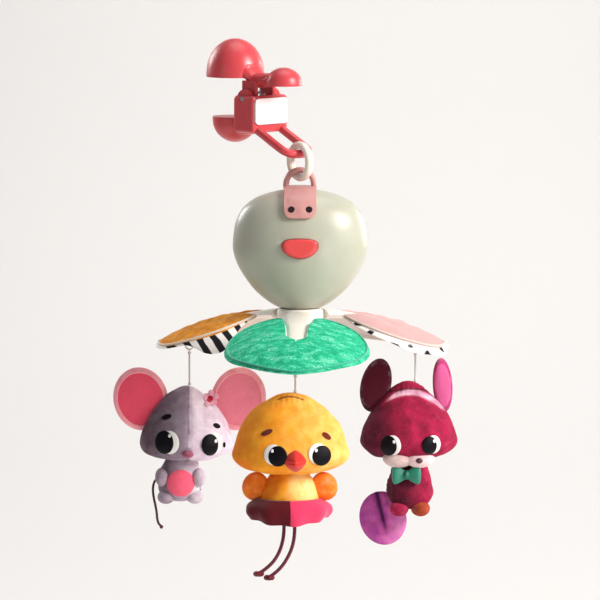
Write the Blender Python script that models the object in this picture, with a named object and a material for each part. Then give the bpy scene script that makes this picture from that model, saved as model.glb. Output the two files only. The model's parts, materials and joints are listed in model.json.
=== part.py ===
"""Crib mobile that clips to a canopy rim or a cot rail: a spring clip carries a link ring, a music box
with a play button, and a free-turning hub whose three arms hold a leaf and a stuffed animal each.

Metres, +Z up. The origin is the middle of the lower jaw pad's flat face, and the animals face -Y.
The clip reaches back at an angle, so the rest hangs below the middle of its loop, in front and to
the right of the jaws.
"""

import math

import bmesh
import bpy
from mathutils import Matrix, Vector

MM = 0.001

# Fits and cutting
GAP = 0.3 * MM
OVERRUN = 6 * MM
ROUND_SIDES = 20
SMALL_SIDES = 8
MERGE_DISTANCE = 0.001 * MM

# Spring clip, in its own frame: X across, +Y towards the jaws
CLIP_TURN = math.radians(45)
JAW_GAP = 26 * MM
UPPER_JAW_RADIUS = 19 * MM
UPPER_JAW_HEIGHT = 25 * MM
LOWER_JAW_RADIUS = 15 * MM
LOWER_JAW_HEIGHT = 17 * MM
PIVOT_BACK = 22 * MM
PIVOT_RISE = JAW_GAP / 2
KNUCKLE_RADIUS = 6 * MM
CLIP_PIN_RADIUS = 1.5 * MM
FRAME_HALF_WIDTH = 16 * MM
FRAME_BACK = 33 * MM
FRAME_FRONT = 14 * MM
FRAME_TOP = 15 * MM
FRAME_BOTTOM = 9 * MM
FRAME_BEVEL = 2 * MM
SLOT_HALF_WIDTH = 10 * MM
SLOT_FLOOR_WALL = 5.5 * MM
BACK_WALL = 3.5 * MM
NECK_HALF_WIDTH = 9 * MM
NECK_TOP = 1 * MM
NECK_DEPTH = 10 * MM
CHEEK_WALL = 2.8 * MM
LEVER_LENGTH = 45 * MM
LEVER_RISE = 23 * MM
THUMB_RADIUS = 12 * MM
THUMB_HEIGHT = 11.8 * MM
THUMB_BASE = 22 * MM
PLATE_HALF_WIDTH = 14.5 * MM
PLATE_HEIGHT = 17 * MM
PLATE_MARGIN = 1.5 * MM
PLATE_THICKNESS = 1.6 * MM
PLATE_RECESS = 1 * MM
PLATE_CORNER = 3 * MM
LOOP_HALF_WIDTH = 11 * MM
LOOP_BAR_RADIUS = 2.8 * MM
LOOP_CORNER = 7 * MM
LOOP_ROOT_DROP = 6 * MM
LOOP_DROP = 21.5 * MM
LOOP_BACK = 60 * MM
SPRING_WIRE_RADIUS = 0.6 * MM
SPRING_RADIUS = 4 * MM
SPRING_PITCH = 1.8 * MM
SPRING_TURNS = 3
SPRING_TURN_POINTS = 8

# Each row: shares of the lever's length back and rise up, and of the jaw's radius wide and high
BRIDGE_SHARES = (
    (0.18, 1.0, 0.63, 0.47),
    (0.34, 0.74, 0.5, 0.34),
    (0.49, 0.5, 0.42, 0.26),
    (0.71, 0.52, 0.46, 0.25),
    (1.0, 0.6, 0.53, 0.26),
)

# Link ring
RING_RADIUS = 10.5 * MM
RING_HALF_HEIGHT = 2.5 * MM
RING_HALF_THICKNESS = 2.8 * MM
RING_TURN = math.radians(-55)
RING_SECTION_SIDES = 10

# Hanger tab, strapped over the music box
EYE_RADIUS = 9 * MM
EYE_BAR_RADIUS = 2 * MM
EYE_ROOT_SHARE = 1 / 3
EYE_POINTS = 9
STRAP_HALF_WIDTH = 10.5 * MM
STRAP_THICKNESS = 2 * MM
STRAP_CORNER = 5 * MM
STRAP_DROP = 16.4 * MM
STRAP_SEAT = 1.3 * MM
TAB_SCREW_SIDE = 5.7 * MM
TAB_SCREW_DROP = 12 * MM
TAB_SCREW_HEAD_RADIUS = 2 * MM
TAB_SCREW_HEAD = 1 * MM
TAB_SCREW_RADIUS = 1.1 * MM
TAB_SCREW_LENGTH = 4.6 * MM

# Music box, in its own frame: Z from its flat bottom
BOX_CROWN_HEIGHT = 25.8 * MM
BOX_HALF_WIDTH = 43.5 * MM
BOX_HALF_DEPTH = 27.8 * MM
BOX_WALL = 2 * MM
BOX_FLOOR = 8 * MM
BOX_SIDES = 36
BOX_RINGS = 12
BOX_WIDTH_SHARES = (
    (0, 0.276), (0.026, 0.41), (0.156, 0.69), (0.33, 0.9), (0.468, 1.0),
    (0.67, 0.98), (0.827, 0.88), (0.935, 0.645), (0.985, 0.38), (1, 0.2),
)
BOX_DEPTH_SHARES = (
    (0, 0.43), (0.026, 0.52), (0.156, 0.74), (0.33, 0.9), (0.468, 1.0),
    (0.67, 0.98), (0.827, 0.865), (0.935, 0.63), (0.985, 0.36), (1, 0.2),
)
POST_RADIUS = 3.2 * MM
UPPER_POST_INSET = 12.5 * MM
UPPER_POST_DROP = 26.8 * MM
LOWER_POST_SIDE = 15 * MM
LOWER_POST_HEIGHT = 7.5 * MM
POST_NAMES = ("upper_left", "upper_right", "lower_left", "lower_right")
SCREW_RADIUS = 1.1 * MM
SCREW_HEAD_RADIUS = 2.4 * MM
SCREW_HEAD = 1.2 * MM
SCREW_REACH = 8 * MM
SCREW_SEAT = 5.5 * MM

# Speaker, in a collar on the rear shell
SPEAKER_RADIUS = 8.5 * MM
SPEAKER_MAGNET_RADIUS = 5 * MM
SPEAKER_DROP = 14.8 * MM
SPEAKER_INSET = 17.3 * MM
SPEAKER_RIM = 2 * MM
SPEAKER_DEPTH = 4.5 * MM
SPEAKER_MAGNET_SHARE = 1 / 3
COLLAR_WALL = 1.3 * MM
COLLAR_LENGTH = 5.5 * MM
GRILLE_RADIUS = 1.2 * MM
GRILLE_CIRCLE = 5 * MM
GRILLE_HOLES = 6

# Batteries and their tray, reached through the rear door
CELL_RADIUS = 5.25 * MM
CELL_LENGTH = 44.5 * MM
CELL_PITCH = 10.8 * MM
CELL_NAMES = ("lower", "middle", "upper")
CELL_TIP_RADIUS = 1.9 * MM
CELL_TIP = 0.8 * MM
CELL_SIDES = 16
CONTACT_THICKNESS = 0.4 * MM
CONTACT_HALF_DEPTH = 2.6 * MM
TRAY_WALL = 1.2 * MM
TRAY_FRONT = 0.8 * MM
TRAY_BACK = 12 * MM
DOOR_MARGIN = 1.35 * MM
DOOR_LEDGE = 2.5 * MM
DOOR_BOSS_MARGIN = 3 * MM
DOOR_CORNER = 5 * MM
DOOR_BOSS_RADIUS = 2.2 * MM
DOOR_SCREW_LENGTH = 8 * MM

# Circuit board and its play button
BOARD_SIDE_ROOM = 16.3 * MM
BOARD_LOW = 21 * MM
BOARD_DROP = 17.8 * MM
BOARD_THICKNESS = 1.6 * MM
BOARD_BACK = 9 * MM
BOARD_PEG_RADIUS = 2 * MM
BOARD_PEG_INSET = 4 * MM
SWITCH_HALF_WIDTH = 3 * MM
SWITCH_DEPTH = 2.6 * MM
BUTTON_DROP = 34.4 * MM
BUTTON_HALF_WIDTH = 11.6 * MM
BUTTON_RISE = 4.6 * MM
BUTTON_FALL = 8 * MM
BUTTON_PROUD = 2 * MM
BUTTON_CROWN = 1.4 * MM
BUTTON_SKIRT = 5 * MM
BUTTON_FLANGE = 1.1 * MM
BUTTON_FLANGE_LIP = 2 * MM
BUTTON_STEM_RADIUS = 2.5 * MM
BUTTON_TRAVEL = 1.2 * MM
BUTTON_STEM_GAP = 0.1 * MM
BUTTON_SIDES = 20
BUTTON_TOP_POWER = 0.55
BUTTON_FACE_SHARE = 0.76
BUTTON_SHOULDER_SHARE = 0.92
BUTTON_SHOULDER_DROP_SHARE = 1 / 3

# Heights and widths inside the music box that follow from the sizes above
TRAY_LOW = LOWER_POST_HEIGHT + POST_RADIUS + GAP
CELL_FIRST = TRAY_LOW + TRAY_WALL + GAP + CELL_RADIUS
CELL_STACK = CELL_PITCH * (len(CELL_NAMES) - 1)
TRAY_HIGH = CELL_FIRST + CELL_STACK + CELL_RADIUS + GAP + TRAY_WALL
CONTACT_FAR = CELL_LENGTH / 2 + GAP + CONTACT_THICKNESS
TRAY_INNER = CONTACT_FAR + GAP
TRAY_OUTER = TRAY_INNER + TRAY_WALL
DOOR_BOSS_HEIGHT = TRAY_HIGH + DOOR_BOSS_RADIUS - GAP
DOOR_HALF_WIDTH = TRAY_OUTER + DOOR_MARGIN
DOOR_LOW = TRAY_LOW + DOOR_LEDGE
DOOR_HIGH = DOOR_BOSS_HEIGHT + DOOR_BOSS_MARGIN
BOX_HEIGHT = DOOR_HIGH + BOX_CROWN_HEIGHT
STRAP_LOW = BOX_HEIGHT - STRAP_DROP
TAB_SCREW_HEIGHT = BOX_HEIGHT - TAB_SCREW_DROP
UPPER_POST_SIDE = BOX_HALF_WIDTH - UPPER_POST_INSET
UPPER_POST_HEIGHT = BOX_HEIGHT - UPPER_POST_DROP
SPEAKER_HEIGHT = BOX_HEIGHT - SPEAKER_DROP
SPEAKER_BACK = BOX_HALF_DEPTH - SPEAKER_INSET
COLLAR_START = SPEAKER_BACK - COLLAR_LENGTH
BOARD_HALF_WIDTH = BOX_HALF_WIDTH - BOARD_SIDE_ROOM
BOARD_HIGH = BOX_HEIGHT - BOARD_DROP
BUTTON_HEIGHT = BOX_HEIGHT - BUTTON_DROP

# Hub and its spindle
HUB_DROP = 4.2 * MM
HUB_RADIUS = 15 * MM
HUB_RISE = 3.7 * MM
HUB_FALL = 4.3 * MM
HUB_EDGE = 1.6 * MM
SPINDLE_RADIUS = 2.5 * MM
SPINDLE_HEAD_RADIUS = 6 * MM
SPINDLE_HEAD = 2.2 * MM
SPINDLE_GROOVE = 0.7 * MM
CIRCLIP_THICKNESS = 0.7 * MM
CIRCLIP_RADIUS = 4.4 * MM
CIRCLIP_MOUTH = math.radians(50)
CIRCLIP_POINTS = 14

# Arms, in a frame with X out from the hub's axis
ARM_COUNT = 3
ARM_NAMES = ("front", "right", "left")
ARM_FIRST_TURN = math.radians(-92)
ARM_REACH = 92 * MM
ARM_ROOT = HUB_RADIUS + GAP
ARM_DROP = 26 * MM
ARM_DROP_REACH = 109 * MM
ARM_HALF_WIDTH = 11 * MM
ARM_HALF_THICKNESS = 3.4 * MM
ARM_SECTION_SIDES = 8
TONGUE_REACH = 7 * MM
TONGUE_HALF_WIDTH = 5 * MM
TONGUE_HALF_THICKNESS = 1.7 * MM
LUG_INSET = 6 * MM
LUG_AT = ARM_REACH - LUG_INSET
LUG_HALF_WIDTH = 2.8 * MM
LUG_THICKNESS = 1.8 * MM
LUG_HOLE_RADIUS = 1.3 * MM
LUG_HOLE_DROP = 5.8 * MM
LUG_RIM = 1.4 * MM

# Each row: shares of the arm's reach, of its width at the hub, and of its thickness there
ARM_SHARES = (
    (0.167, 1.0, 1.0),
    (0.25, 0.93, 0.85),
    (0.36, 0.8, 0.68),
    (0.5, 0.66, 0.52),
    (0.65, 0.56, 0.42),
    (0.8, 0.51, 0.38),
    (0.93, 0.5, 0.38),
    (0.98, 0.4, 0.36),
    (1.0, 0.22, 0.3),
)

# Leaves, drawn round a middle point on the arm
LEAF_OVERHANG = 18 * MM
LEAF_ROOT_GAP = 14.54 * MM
LEAF_INNER_SHARE = 0.67
LEAF_TIP = ARM_REACH + LEAF_OVERHANG
LEAF_LENGTH = (LEAF_TIP - ARM_ROOT - LEAF_ROOT_GAP) / (1 + LEAF_INNER_SHARE)
LEAF_MIDDLE = LEAF_TIP - LEAF_LENGTH
LEAF_HALF_WIDTH = 43 * MM
LEAF_SIDE_DROP = 10 * MM
LEAF_THICKNESS = 6.4 * MM
LEAF_EDGE = 1.6 * MM
LEAF_NOTCH_BACK = 13 * MM
LEAF_NOTCH_END = LUG_AT - LEAF_NOTCH_BACK
LEAF_NOTCH_MARGIN = 1 * MM
LEAF_POINTS = 24
LEAF_RING_SHARES = (0.45, 0.8, 1.0)

# Each row: share of the half turn from the tip round to the notch, and of the leaf's length
LEAF_OUTLINE_SHARES = (
    (0, 1.0), (0.055, 0.905), (0.11, 0.855), (0.19, 0.835), (0.28, 0.865), (0.39, 0.905),
    (0.5, 0.9), (0.61, 0.905), (0.72, 0.9), (0.83, 0.85), (0.89, 0.8), (1, LEAF_INNER_SHARE),
)

# Loops and strings that hang the animals
LOOP_RADIUS = 3.2 * MM
LOOP_WIRE_RADIUS = 0.6 * MM
STRING_RADIUS = 0.6 * MM
KNOT_RADIUS = 1.2 * MM
KNOT_RINGS = 5
WIRE_SIDES = 8
LOOP_POINTS = 14
MOUSE_STRING = 23 * MM
CHICK_STRING = 12 * MM
BUNNY_STRING = 20 * MM

# Stuffed forms: share of the height from the bottom, and of the half width there
FORM_SIDES = 18
FORM_RINGS = 10
BALL_SIDES = 8
BALL_RINGS = 6
HEAD_SHARES = (
    (0, 0), (0.04, 0.62), (0.12, 0.9), (0.22, 1.0), (0.35, 0.97), (0.5, 0.88),
    (0.68, 0.7), (0.85, 0.45), (0.95, 0.24), (1, 0),
)
BODY_SHARES = (
    (0, 0), (0.05, 0.5), (0.15, 0.85), (0.3, 1.0), (0.5, 0.97), (0.7, 0.84),
    (0.88, 0.62), (0.97, 0.3), (1, 0),
)
BALL_SHARES = ((0, 0), (0.067, 0.5), (0.25, 0.866), (0.5, 1.0), (0.75, 0.866), (0.933, 0.5), (1, 0))
PILLOW_SHARES = ((0, 1.0), (0.4, 0.95), (0.72, 0.78), (0.92, 0.46), (1, 0.16))
PILLOW_SIDES = 14
CORD_STEP_SHARE = 5

# Mouse: every size is width, depth, height, and every place is measured from the head's top
MOUSE_HEAD_WIDTH = 62 * MM
MOUSE_HEAD_DEPTH = 44 * MM
MOUSE_HEAD_HEIGHT = 50 * MM
MOUSE_HEAD = Vector((MOUSE_HEAD_WIDTH, MOUSE_HEAD_DEPTH, MOUSE_HEAD_HEIGHT))
MOUSE_HEAD_TOP_ACROSS = -2 * MM
MOUSE_HEAD_TOP_UP = 0.4 * MM
MOUSE_HEAD_TOP = Vector((MOUSE_HEAD_TOP_ACROSS, 0, MOUSE_HEAD_TOP_UP))
MOUSE_EAR_WIDTH = 36 * MM
MOUSE_EAR_DEPTH = 8 * MM
MOUSE_EAR_HEIGHT = 42 * MM
MOUSE_EAR = Vector((MOUSE_EAR_WIDTH, MOUSE_EAR_DEPTH, MOUSE_EAR_HEIGHT))
MOUSE_EAR_PLACE_ACROSS = 32.3 * MM
MOUSE_EAR_PLACE_BACK = 3 * MM
MOUSE_EAR_PLACE_UP = -8.8 * MM
MOUSE_EAR_PLACE = Vector((MOUSE_EAR_PLACE_ACROSS, MOUSE_EAR_PLACE_BACK, MOUSE_EAR_PLACE_UP))
MOUSE_EAR_LEAN = math.radians(12)
MOUSE_BODY_WIDTH = 30 * MM
MOUSE_BODY_DEPTH = 24 * MM
MOUSE_BODY_HEIGHT = 33 * MM
MOUSE_BODY = Vector((MOUSE_BODY_WIDTH, MOUSE_BODY_DEPTH, MOUSE_BODY_HEIGHT))
MOUSE_BODY_TOP_ACROSS = -6 * MM
MOUSE_BODY_TOP_UP = -43.5 * MM
MOUSE_BODY_TOP = Vector((MOUSE_BODY_TOP_ACROSS, 0, MOUSE_BODY_TOP_UP))
MOUSE_HAND_WIDTH = 8 * MM
MOUSE_HAND_DEPTH = 8 * MM
MOUSE_HAND_HEIGHT = 12 * MM
MOUSE_HAND = Vector((MOUSE_HAND_WIDTH, MOUSE_HAND_DEPTH, MOUSE_HAND_HEIGHT))
MOUSE_HAND_PLACE_ACROSS = 12.5 * MM
MOUSE_HAND_PLACE_BACK = -8 * MM
MOUSE_HAND_PLACE_UP = -59.5 * MM
MOUSE_HAND_PLACE = Vector((MOUSE_HAND_PLACE_ACROSS, MOUSE_HAND_PLACE_BACK, MOUSE_HAND_PLACE_UP))
MOUSE_FOOT_WIDTH = 11 * MM
MOUSE_FOOT_DEPTH = 12 * MM
MOUSE_FOOT_HEIGHT = 9 * MM
MOUSE_FOOT = Vector((MOUSE_FOOT_WIDTH, MOUSE_FOOT_DEPTH, MOUSE_FOOT_HEIGHT))
MOUSE_FOOT_PLACE_ACROSS = 9.5 * MM
MOUSE_FOOT_PLACE_BACK = -5 * MM
MOUSE_FOOT_PLACE_UP = -73 * MM
MOUSE_FOOT_PLACE = Vector((MOUSE_FOOT_PLACE_ACROSS, MOUSE_FOOT_PLACE_BACK, MOUSE_FOOT_PLACE_UP))
MOUSE_TAIL_RADIUS = 0.8 * MM
MOUSE_TAIL_ROUTE = [
    Vector(point) * MM for point in (
        (-20.9, 5, -62.2), (-23, 5.8, -63.8), (-24.2, 6.1, -67), (-24.4, 5.8, -71), (-23.8, 5, -75.5),
        (-22.8, 4.2, -80), (-22, 3.6, -84.5), (-21.6, 3, -88.5), (-20.8, 2.5, -91.5), (-18.8, 2, -94),
    )
]

# Chick
CHICK_HEAD_WIDTH = 73.5 * MM
CHICK_HEAD_DEPTH = 50 * MM
CHICK_HEAD_HEIGHT = 52 * MM
CHICK_HEAD = Vector((CHICK_HEAD_WIDTH, CHICK_HEAD_DEPTH, CHICK_HEAD_HEIGHT))
CHICK_HEAD_TOP_ACROSS = -3 * MM
CHICK_HEAD_TOP_UP = 0.8 * MM
CHICK_HEAD_TOP = Vector((CHICK_HEAD_TOP_ACROSS, 0, CHICK_HEAD_TOP_UP))
CHICK_BEAK_ACROSS = 3 * MM
CHICK_BEAK_WIDTH = 14 * MM
CHICK_BEAK_DEPTH = 7 * MM
CHICK_BEAK_HEIGHT = 14.5 * MM
CHICK_BEAK = Vector((CHICK_BEAK_WIDTH, CHICK_BEAK_DEPTH, CHICK_BEAK_HEIGHT))
CHICK_BEAK_DROP = 41 * MM
CHICK_BEAK_MIDDLE_SHARE = 0.4
CHICK_BODY_WIDTH = 37 * MM
CHICK_BODY_DEPTH = 31 * MM
CHICK_BODY_HEIGHT = 34 * MM
CHICK_BODY = Vector((CHICK_BODY_WIDTH, CHICK_BODY_DEPTH, CHICK_BODY_HEIGHT))
CHICK_BODY_TOP_ACROSS = -3.5 * MM
CHICK_BODY_TOP_UP = -46.5 * MM
CHICK_BODY_TOP = Vector((CHICK_BODY_TOP_ACROSS, 0, CHICK_BODY_TOP_UP))
CHICK_WING_WIDTH = 16 * MM
CHICK_WING_DEPTH = 6.5 * MM
CHICK_WING_HEIGHT = 18 * MM
CHICK_WING = Vector((CHICK_WING_WIDTH, CHICK_WING_DEPTH, CHICK_WING_HEIGHT))
CHICK_WING_PLACE_ACROSS = 22 * MM
CHICK_WING_PLACE_BACK = -1 * MM
CHICK_WING_PLACE_UP = -59 * MM
CHICK_WING_PLACE = Vector((CHICK_WING_PLACE_ACROSS, CHICK_WING_PLACE_BACK, CHICK_WING_PLACE_UP))
CHICK_WING_LEAN = math.radians(24)
CHICK_SKIRT_TOP_ACROSS = -4.3 * MM
CHICK_SKIRT_TOP_UP = -66.5 * MM
CHICK_SKIRT_TOP = Vector((CHICK_SKIRT_TOP_ACROSS, 0, CHICK_SKIRT_TOP_UP))
CHICK_SKIRT_HEIGHT = 15.5 * MM
CHICK_SKIRT_HALF_WIDTH = 27 * MM
CHICK_SKIRT_HALF_DEPTH = 20 * MM
CHICK_SKIRT_WALL = 1.8 * MM
CHICK_SKIRT_FOLDS = 9
CHICK_SKIRT_FOLD_SHARE = 0.05
# Share of the height, of the half width, of the half depth and of the fold
CHICK_SKIRT_SHARES = (
    (0, 0.74, 0.83, 0), (0.3, 0.96, 0.96, 0.5), (0.62, 1, 1, 1), (1, 0.88, 0.9, 1),
)
CHICK_SKIRT_SIDES = 36
CHICK_LEG_RADIUS = 1.15 * MM
CHICK_FOOT_WIDTH = 7 * MM
CHICK_FOOT_DEPTH = 4 * MM
CHICK_FOOT_HEIGHT = 3.6 * MM
CHICK_FOOT = Vector((CHICK_FOOT_WIDTH, CHICK_FOOT_DEPTH, CHICK_FOOT_HEIGHT))
CHICK_LEFT_LEG_ROUTE = [
    Vector(point) * MM for point in (
        (-7.2, 0, -80.9), (-7.2, 0, -84.2), (-7.3, 0, -88.4), (-7.7, -0.2, -92.2),
        (-8.5, -0.5, -96.1), (-9.8, -0.9, -100.1), (-11.7, -1.3, -104), (-14.2, -1.7, -107.6),
        (-17.2, -2, -110.6), (-20.4, -2.2, -113.1), (-23.3, -2.3, -114.9),
    )
]
CHICK_RIGHT_LEG_ROUTE = [
    Vector(point) * MM for point in (
        (-0.4, 0, -80.9), (-0.4, 0, -84.2), (-0.5, -0.1, -88.9), (-0.9, -0.3, -93),
        (-1.7, -0.7, -97), (-3.1, -1.2, -101), (-5, -1.7, -104.9), (-7.5, -2.2, -108.9),
        (-10.5, -2.6, -112.4), (-13.7, -2.9, -115.2), (-16.6, -3, -117.2),
    )
]

# Bunny
BUNNY_HEAD_WIDTH = 64 * MM
BUNNY_HEAD_DEPTH = 46 * MM
BUNNY_HEAD_HEIGHT = 52 * MM
BUNNY_HEAD = Vector((BUNNY_HEAD_WIDTH, BUNNY_HEAD_DEPTH, BUNNY_HEAD_HEIGHT))
BUNNY_HEAD_TOP_ACROSS = -4.5 * MM
BUNNY_HEAD_TOP_UP = 1.2 * MM
BUNNY_HEAD_TOP = Vector((BUNNY_HEAD_TOP_ACROSS, 0, BUNNY_HEAD_TOP_UP))
BUNNY_LEFT_EAR_WIDTH = 20 * MM
BUNNY_LEFT_EAR_DEPTH = 8 * MM
BUNNY_LEFT_EAR_HEIGHT = 36 * MM
BUNNY_LEFT_EAR = Vector((BUNNY_LEFT_EAR_WIDTH, BUNNY_LEFT_EAR_DEPTH, BUNNY_LEFT_EAR_HEIGHT))
BUNNY_LEFT_EAR_PLACE_ACROSS = -26 * MM
BUNNY_LEFT_EAR_PLACE_BACK = 2 * MM
BUNNY_LEFT_EAR_PLACE_UP = -2 * MM
BUNNY_LEFT_EAR_PLACE = Vector((
    BUNNY_LEFT_EAR_PLACE_ACROSS, BUNNY_LEFT_EAR_PLACE_BACK, BUNNY_LEFT_EAR_PLACE_UP,
))
BUNNY_LEFT_EAR_LEAN = math.radians(9)
BUNNY_RIGHT_EAR_WIDTH = 13 * MM
BUNNY_RIGHT_EAR_DEPTH = 8 * MM
BUNNY_RIGHT_EAR_HEIGHT = 36 * MM
BUNNY_RIGHT_EAR = Vector((BUNNY_RIGHT_EAR_WIDTH, BUNNY_RIGHT_EAR_DEPTH, BUNNY_RIGHT_EAR_HEIGHT))
BUNNY_RIGHT_EAR_PLACE_ACROSS = 18 * MM
BUNNY_RIGHT_EAR_PLACE_BACK = 2 * MM
BUNNY_RIGHT_EAR_PLACE_UP = -2 * MM
BUNNY_RIGHT_EAR_PLACE = Vector((
    BUNNY_RIGHT_EAR_PLACE_ACROSS, BUNNY_RIGHT_EAR_PLACE_BACK, BUNNY_RIGHT_EAR_PLACE_UP,
))
BUNNY_RIGHT_EAR_LEAN = math.radians(-4)
BUNNY_MUZZLE_WIDTH = 31 * MM
BUNNY_MUZZLE_DEPTH = 16 * MM
BUNNY_MUZZLE_HEIGHT = 13 * MM
BUNNY_MUZZLE = Vector((BUNNY_MUZZLE_WIDTH, BUNNY_MUZZLE_DEPTH, BUNNY_MUZZLE_HEIGHT))
BUNNY_MUZZLE_DROP = 50 * MM
BUNNY_MUZZLE_SUNK_SHARE = 0.2
BUNNY_MUZZLE_SHIFT = -1.8 * MM
BUNNY_BODY_WIDTH = 31 * MM
BUNNY_BODY_DEPTH = 26 * MM
BUNNY_BODY_HEIGHT = 35 * MM
BUNNY_BODY = Vector((BUNNY_BODY_WIDTH, BUNNY_BODY_DEPTH, BUNNY_BODY_HEIGHT))
BUNNY_BODY_TOP_ACROSS = -3.5 * MM
BUNNY_BODY_TOP_BACK = 0.6 * MM
BUNNY_BODY_TOP_UP = -49.3 * MM
BUNNY_BODY_TOP = Vector((BUNNY_BODY_TOP_ACROSS, BUNNY_BODY_TOP_BACK, BUNNY_BODY_TOP_UP))
BUNNY_BOW_WIDTH = 19 * MM
BUNNY_BOW_DEPTH = 6 * MM
BUNNY_BOW_HEIGHT = 12.5 * MM
BUNNY_BOW = Vector((BUNNY_BOW_WIDTH, BUNNY_BOW_DEPTH, BUNNY_BOW_HEIGHT))
BUNNY_BOW_PLACE_ACROSS = -6 * MM
BUNNY_BOW_PLACE_BACK = -13.5 * MM
BUNNY_BOW_PLACE_UP = -59.5 * MM
BUNNY_BOW_PLACE = Vector((BUNNY_BOW_PLACE_ACROSS, BUNNY_BOW_PLACE_BACK, BUNNY_BOW_PLACE_UP))
BUNNY_BOW_SHARES = (
    (-1, 0.7), (-0.8, 1), (-0.35, 0.75), (0, 0.42), (0.35, 0.75), (0.8, 1), (1, 0.7),
)
BUNNY_FOOT_WIDTH = 12 * MM
BUNNY_FOOT_DEPTH = 16 * MM
BUNNY_FOOT_HEIGHT = 10 * MM
BUNNY_FOOT = Vector((BUNNY_FOOT_WIDTH, BUNNY_FOOT_DEPTH, BUNNY_FOOT_HEIGHT))
BUNNY_FOOT_PLACE_ACROSS = 7 * MM
BUNNY_FOOT_PLACE_BACK = -5 * MM
BUNNY_FOOT_PLACE_UP = -83 * MM
BUNNY_FOOT_PLACE = Vector((BUNNY_FOOT_PLACE_ACROSS, BUNNY_FOOT_PLACE_BACK, BUNNY_FOOT_PLACE_UP))
BUNNY_TAIL_WIDTH = 31 * MM
BUNNY_TAIL_DEPTH = 7 * MM
BUNNY_TAIL_HEIGHT = 36 * MM
BUNNY_TAIL = Vector((BUNNY_TAIL_WIDTH, BUNNY_TAIL_DEPTH, BUNNY_TAIL_HEIGHT))
BUNNY_TAIL_PLACE_ACROSS = -21 * MM
BUNNY_TAIL_PLACE_BACK = 9.5 * MM
BUNNY_TAIL_PLACE_UP = -91.5 * MM
BUNNY_TAIL_PLACE = Vector((BUNNY_TAIL_PLACE_ACROSS, BUNNY_TAIL_PLACE_BACK, BUNNY_TAIL_PLACE_UP))
BUNNY_TAIL_LEAN = math.radians(-15)

# Heights that follow from the sizes above
LOOP_BAR_Z = -LOOP_DROP
RING_TOP_Z = LOOP_BAR_Z + LOOP_BAR_RADIUS + GAP + RING_HALF_HEIGHT
RING_MIDDLE_Z = RING_TOP_Z - RING_RADIUS
RING_LOW_Z = RING_MIDDLE_Z - RING_RADIUS
EYE_TOP_Z = RING_LOW_Z + RING_HALF_HEIGHT + GAP + EYE_BAR_RADIUS
EYE_MIDDLE_Z = EYE_TOP_Z - EYE_RADIUS
STRAP_TOP_Z = EYE_MIDDLE_Z - STRAP_SEAT
BOX_TOP_Z = STRAP_TOP_Z - STRAP_THICKNESS - GAP
BOX_BOTTOM_Z = BOX_TOP_Z - BOX_HEIGHT
HANG_REACH = LOOP_BACK
HANG_AXIS = Matrix.Rotation(CLIP_TURN, 3, "Z") @ Vector((0, -HANG_REACH, 0))


def clear_scene():
    """Start from an empty scene."""
    for old in list(bpy.data.objects):
        bpy.data.objects.remove(old, do_unlink=True)


def finish(name, colour, roughness, metallic=0.0):
    """A material with the colour, roughness and metal of one kind of piece."""
    made = bpy.data.materials.new(name)
    made.use_nodes = True
    shader = made.node_tree.nodes["Principled BSDF"]
    shader.inputs["Base Color"].default_value = (*colour, 1)
    shader.inputs["Roughness"].default_value = roughness
    shader.inputs["Metallic"].default_value = metallic
    made.diffuse_color = (*colour, 1)
    return made


def pivot(name, place, parent=None, turn=0.0):
    """An empty that pieces hang on, turned about the vertical."""
    made = bpy.data.objects.new(name, None)
    bpy.context.collection.objects.link(made)
    made.empty_display_size = GAP
    made.location = place
    made.rotation_euler = (0, 0, turn)
    made.parent = parent
    return made


def add(name, mesh, look, parent=None, place=(0, 0, 0), smooth=True):
    """A piece of the mobile, drawn in its parent's frame."""
    made = bpy.data.objects.new(name, mesh)
    bpy.context.collection.objects.link(made)
    made.location = place
    made.parent = parent
    if not mesh.materials:
        mesh.materials.append(look)
    if smooth:
        mesh.shade_smooth()
        mesh.set_sharp_from_angle(angle=math.radians(38))
    return made


def mesh_of(shape):
    """Turn finished bmesh work into a mesh with its faces outward."""
    bmesh.ops.recalc_face_normals(shape, faces=shape.faces)
    mesh = bpy.data.meshes.new("shape")
    shape.to_mesh(mesh)
    shape.free()
    return mesh


def moved(mesh, matrix):
    """The same mesh after a move or a turn."""
    mesh.transform(matrix)
    return mesh


def shifted(mesh, offset):
    """The same mesh, moved along."""
    return moved(mesh, Matrix.Translation(offset))


def combine(base, operation, tools):
    """One mesh joined with, cut by or kept inside others."""
    holder = bpy.data.objects.new("working_solid", base)
    bpy.context.collection.objects.link(holder)
    helpers = []
    for tool in tools:
        helper = bpy.data.objects.new("working_tool", tool)
        bpy.context.collection.objects.link(helper)
        step = holder.modifiers.new("shape", "BOOLEAN")
        step.operation = operation
        step.solver = "EXACT"
        step.object = helper
        helpers.append(helper)
    bpy.context.view_layer.update()
    graph = bpy.context.evaluated_depsgraph_get()
    result = bpy.data.meshes.new_from_object(holder.evaluated_get(graph))
    for thing in (holder, *helpers):
        bpy.data.objects.remove(thing, do_unlink=True)
    return result


def joined(base, *others):
    return combine(base, "UNION", others)


def cut(base, *others):
    return combine(base, "DIFFERENCE", others)


def within(base, *others):
    return combine(base, "INTERSECT", others)


def share_at(table, place):
    """Read a smooth curve through rows of place and share."""
    last = len(table) - 2
    row = last
    for index in range(last + 1):
        if place <= table[index + 1][0]:
            row = index
            break
    start, end = table[row], table[row + 1]
    span = end[0] - start[0]
    slope = (end[1] - start[1]) / span
    before = slope
    after = slope
    if row > 0:
        back = table[row - 1]
        before = (end[1] - back[1]) / (end[0] - back[0])
    if row < last:
        ahead = table[row + 2]
        after = (ahead[1] - start[1]) / (ahead[0] - start[0])
    step = min(max((place - start[0]) / span, 0), 1)
    rise = step * step * (3 - 2 * step)
    lead = step * (1 - step) ** 2 * span * before
    trail = step * step * (step - 1) * span * after
    return start[1] + (end[1] - start[1]) * rise + lead + trail


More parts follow.
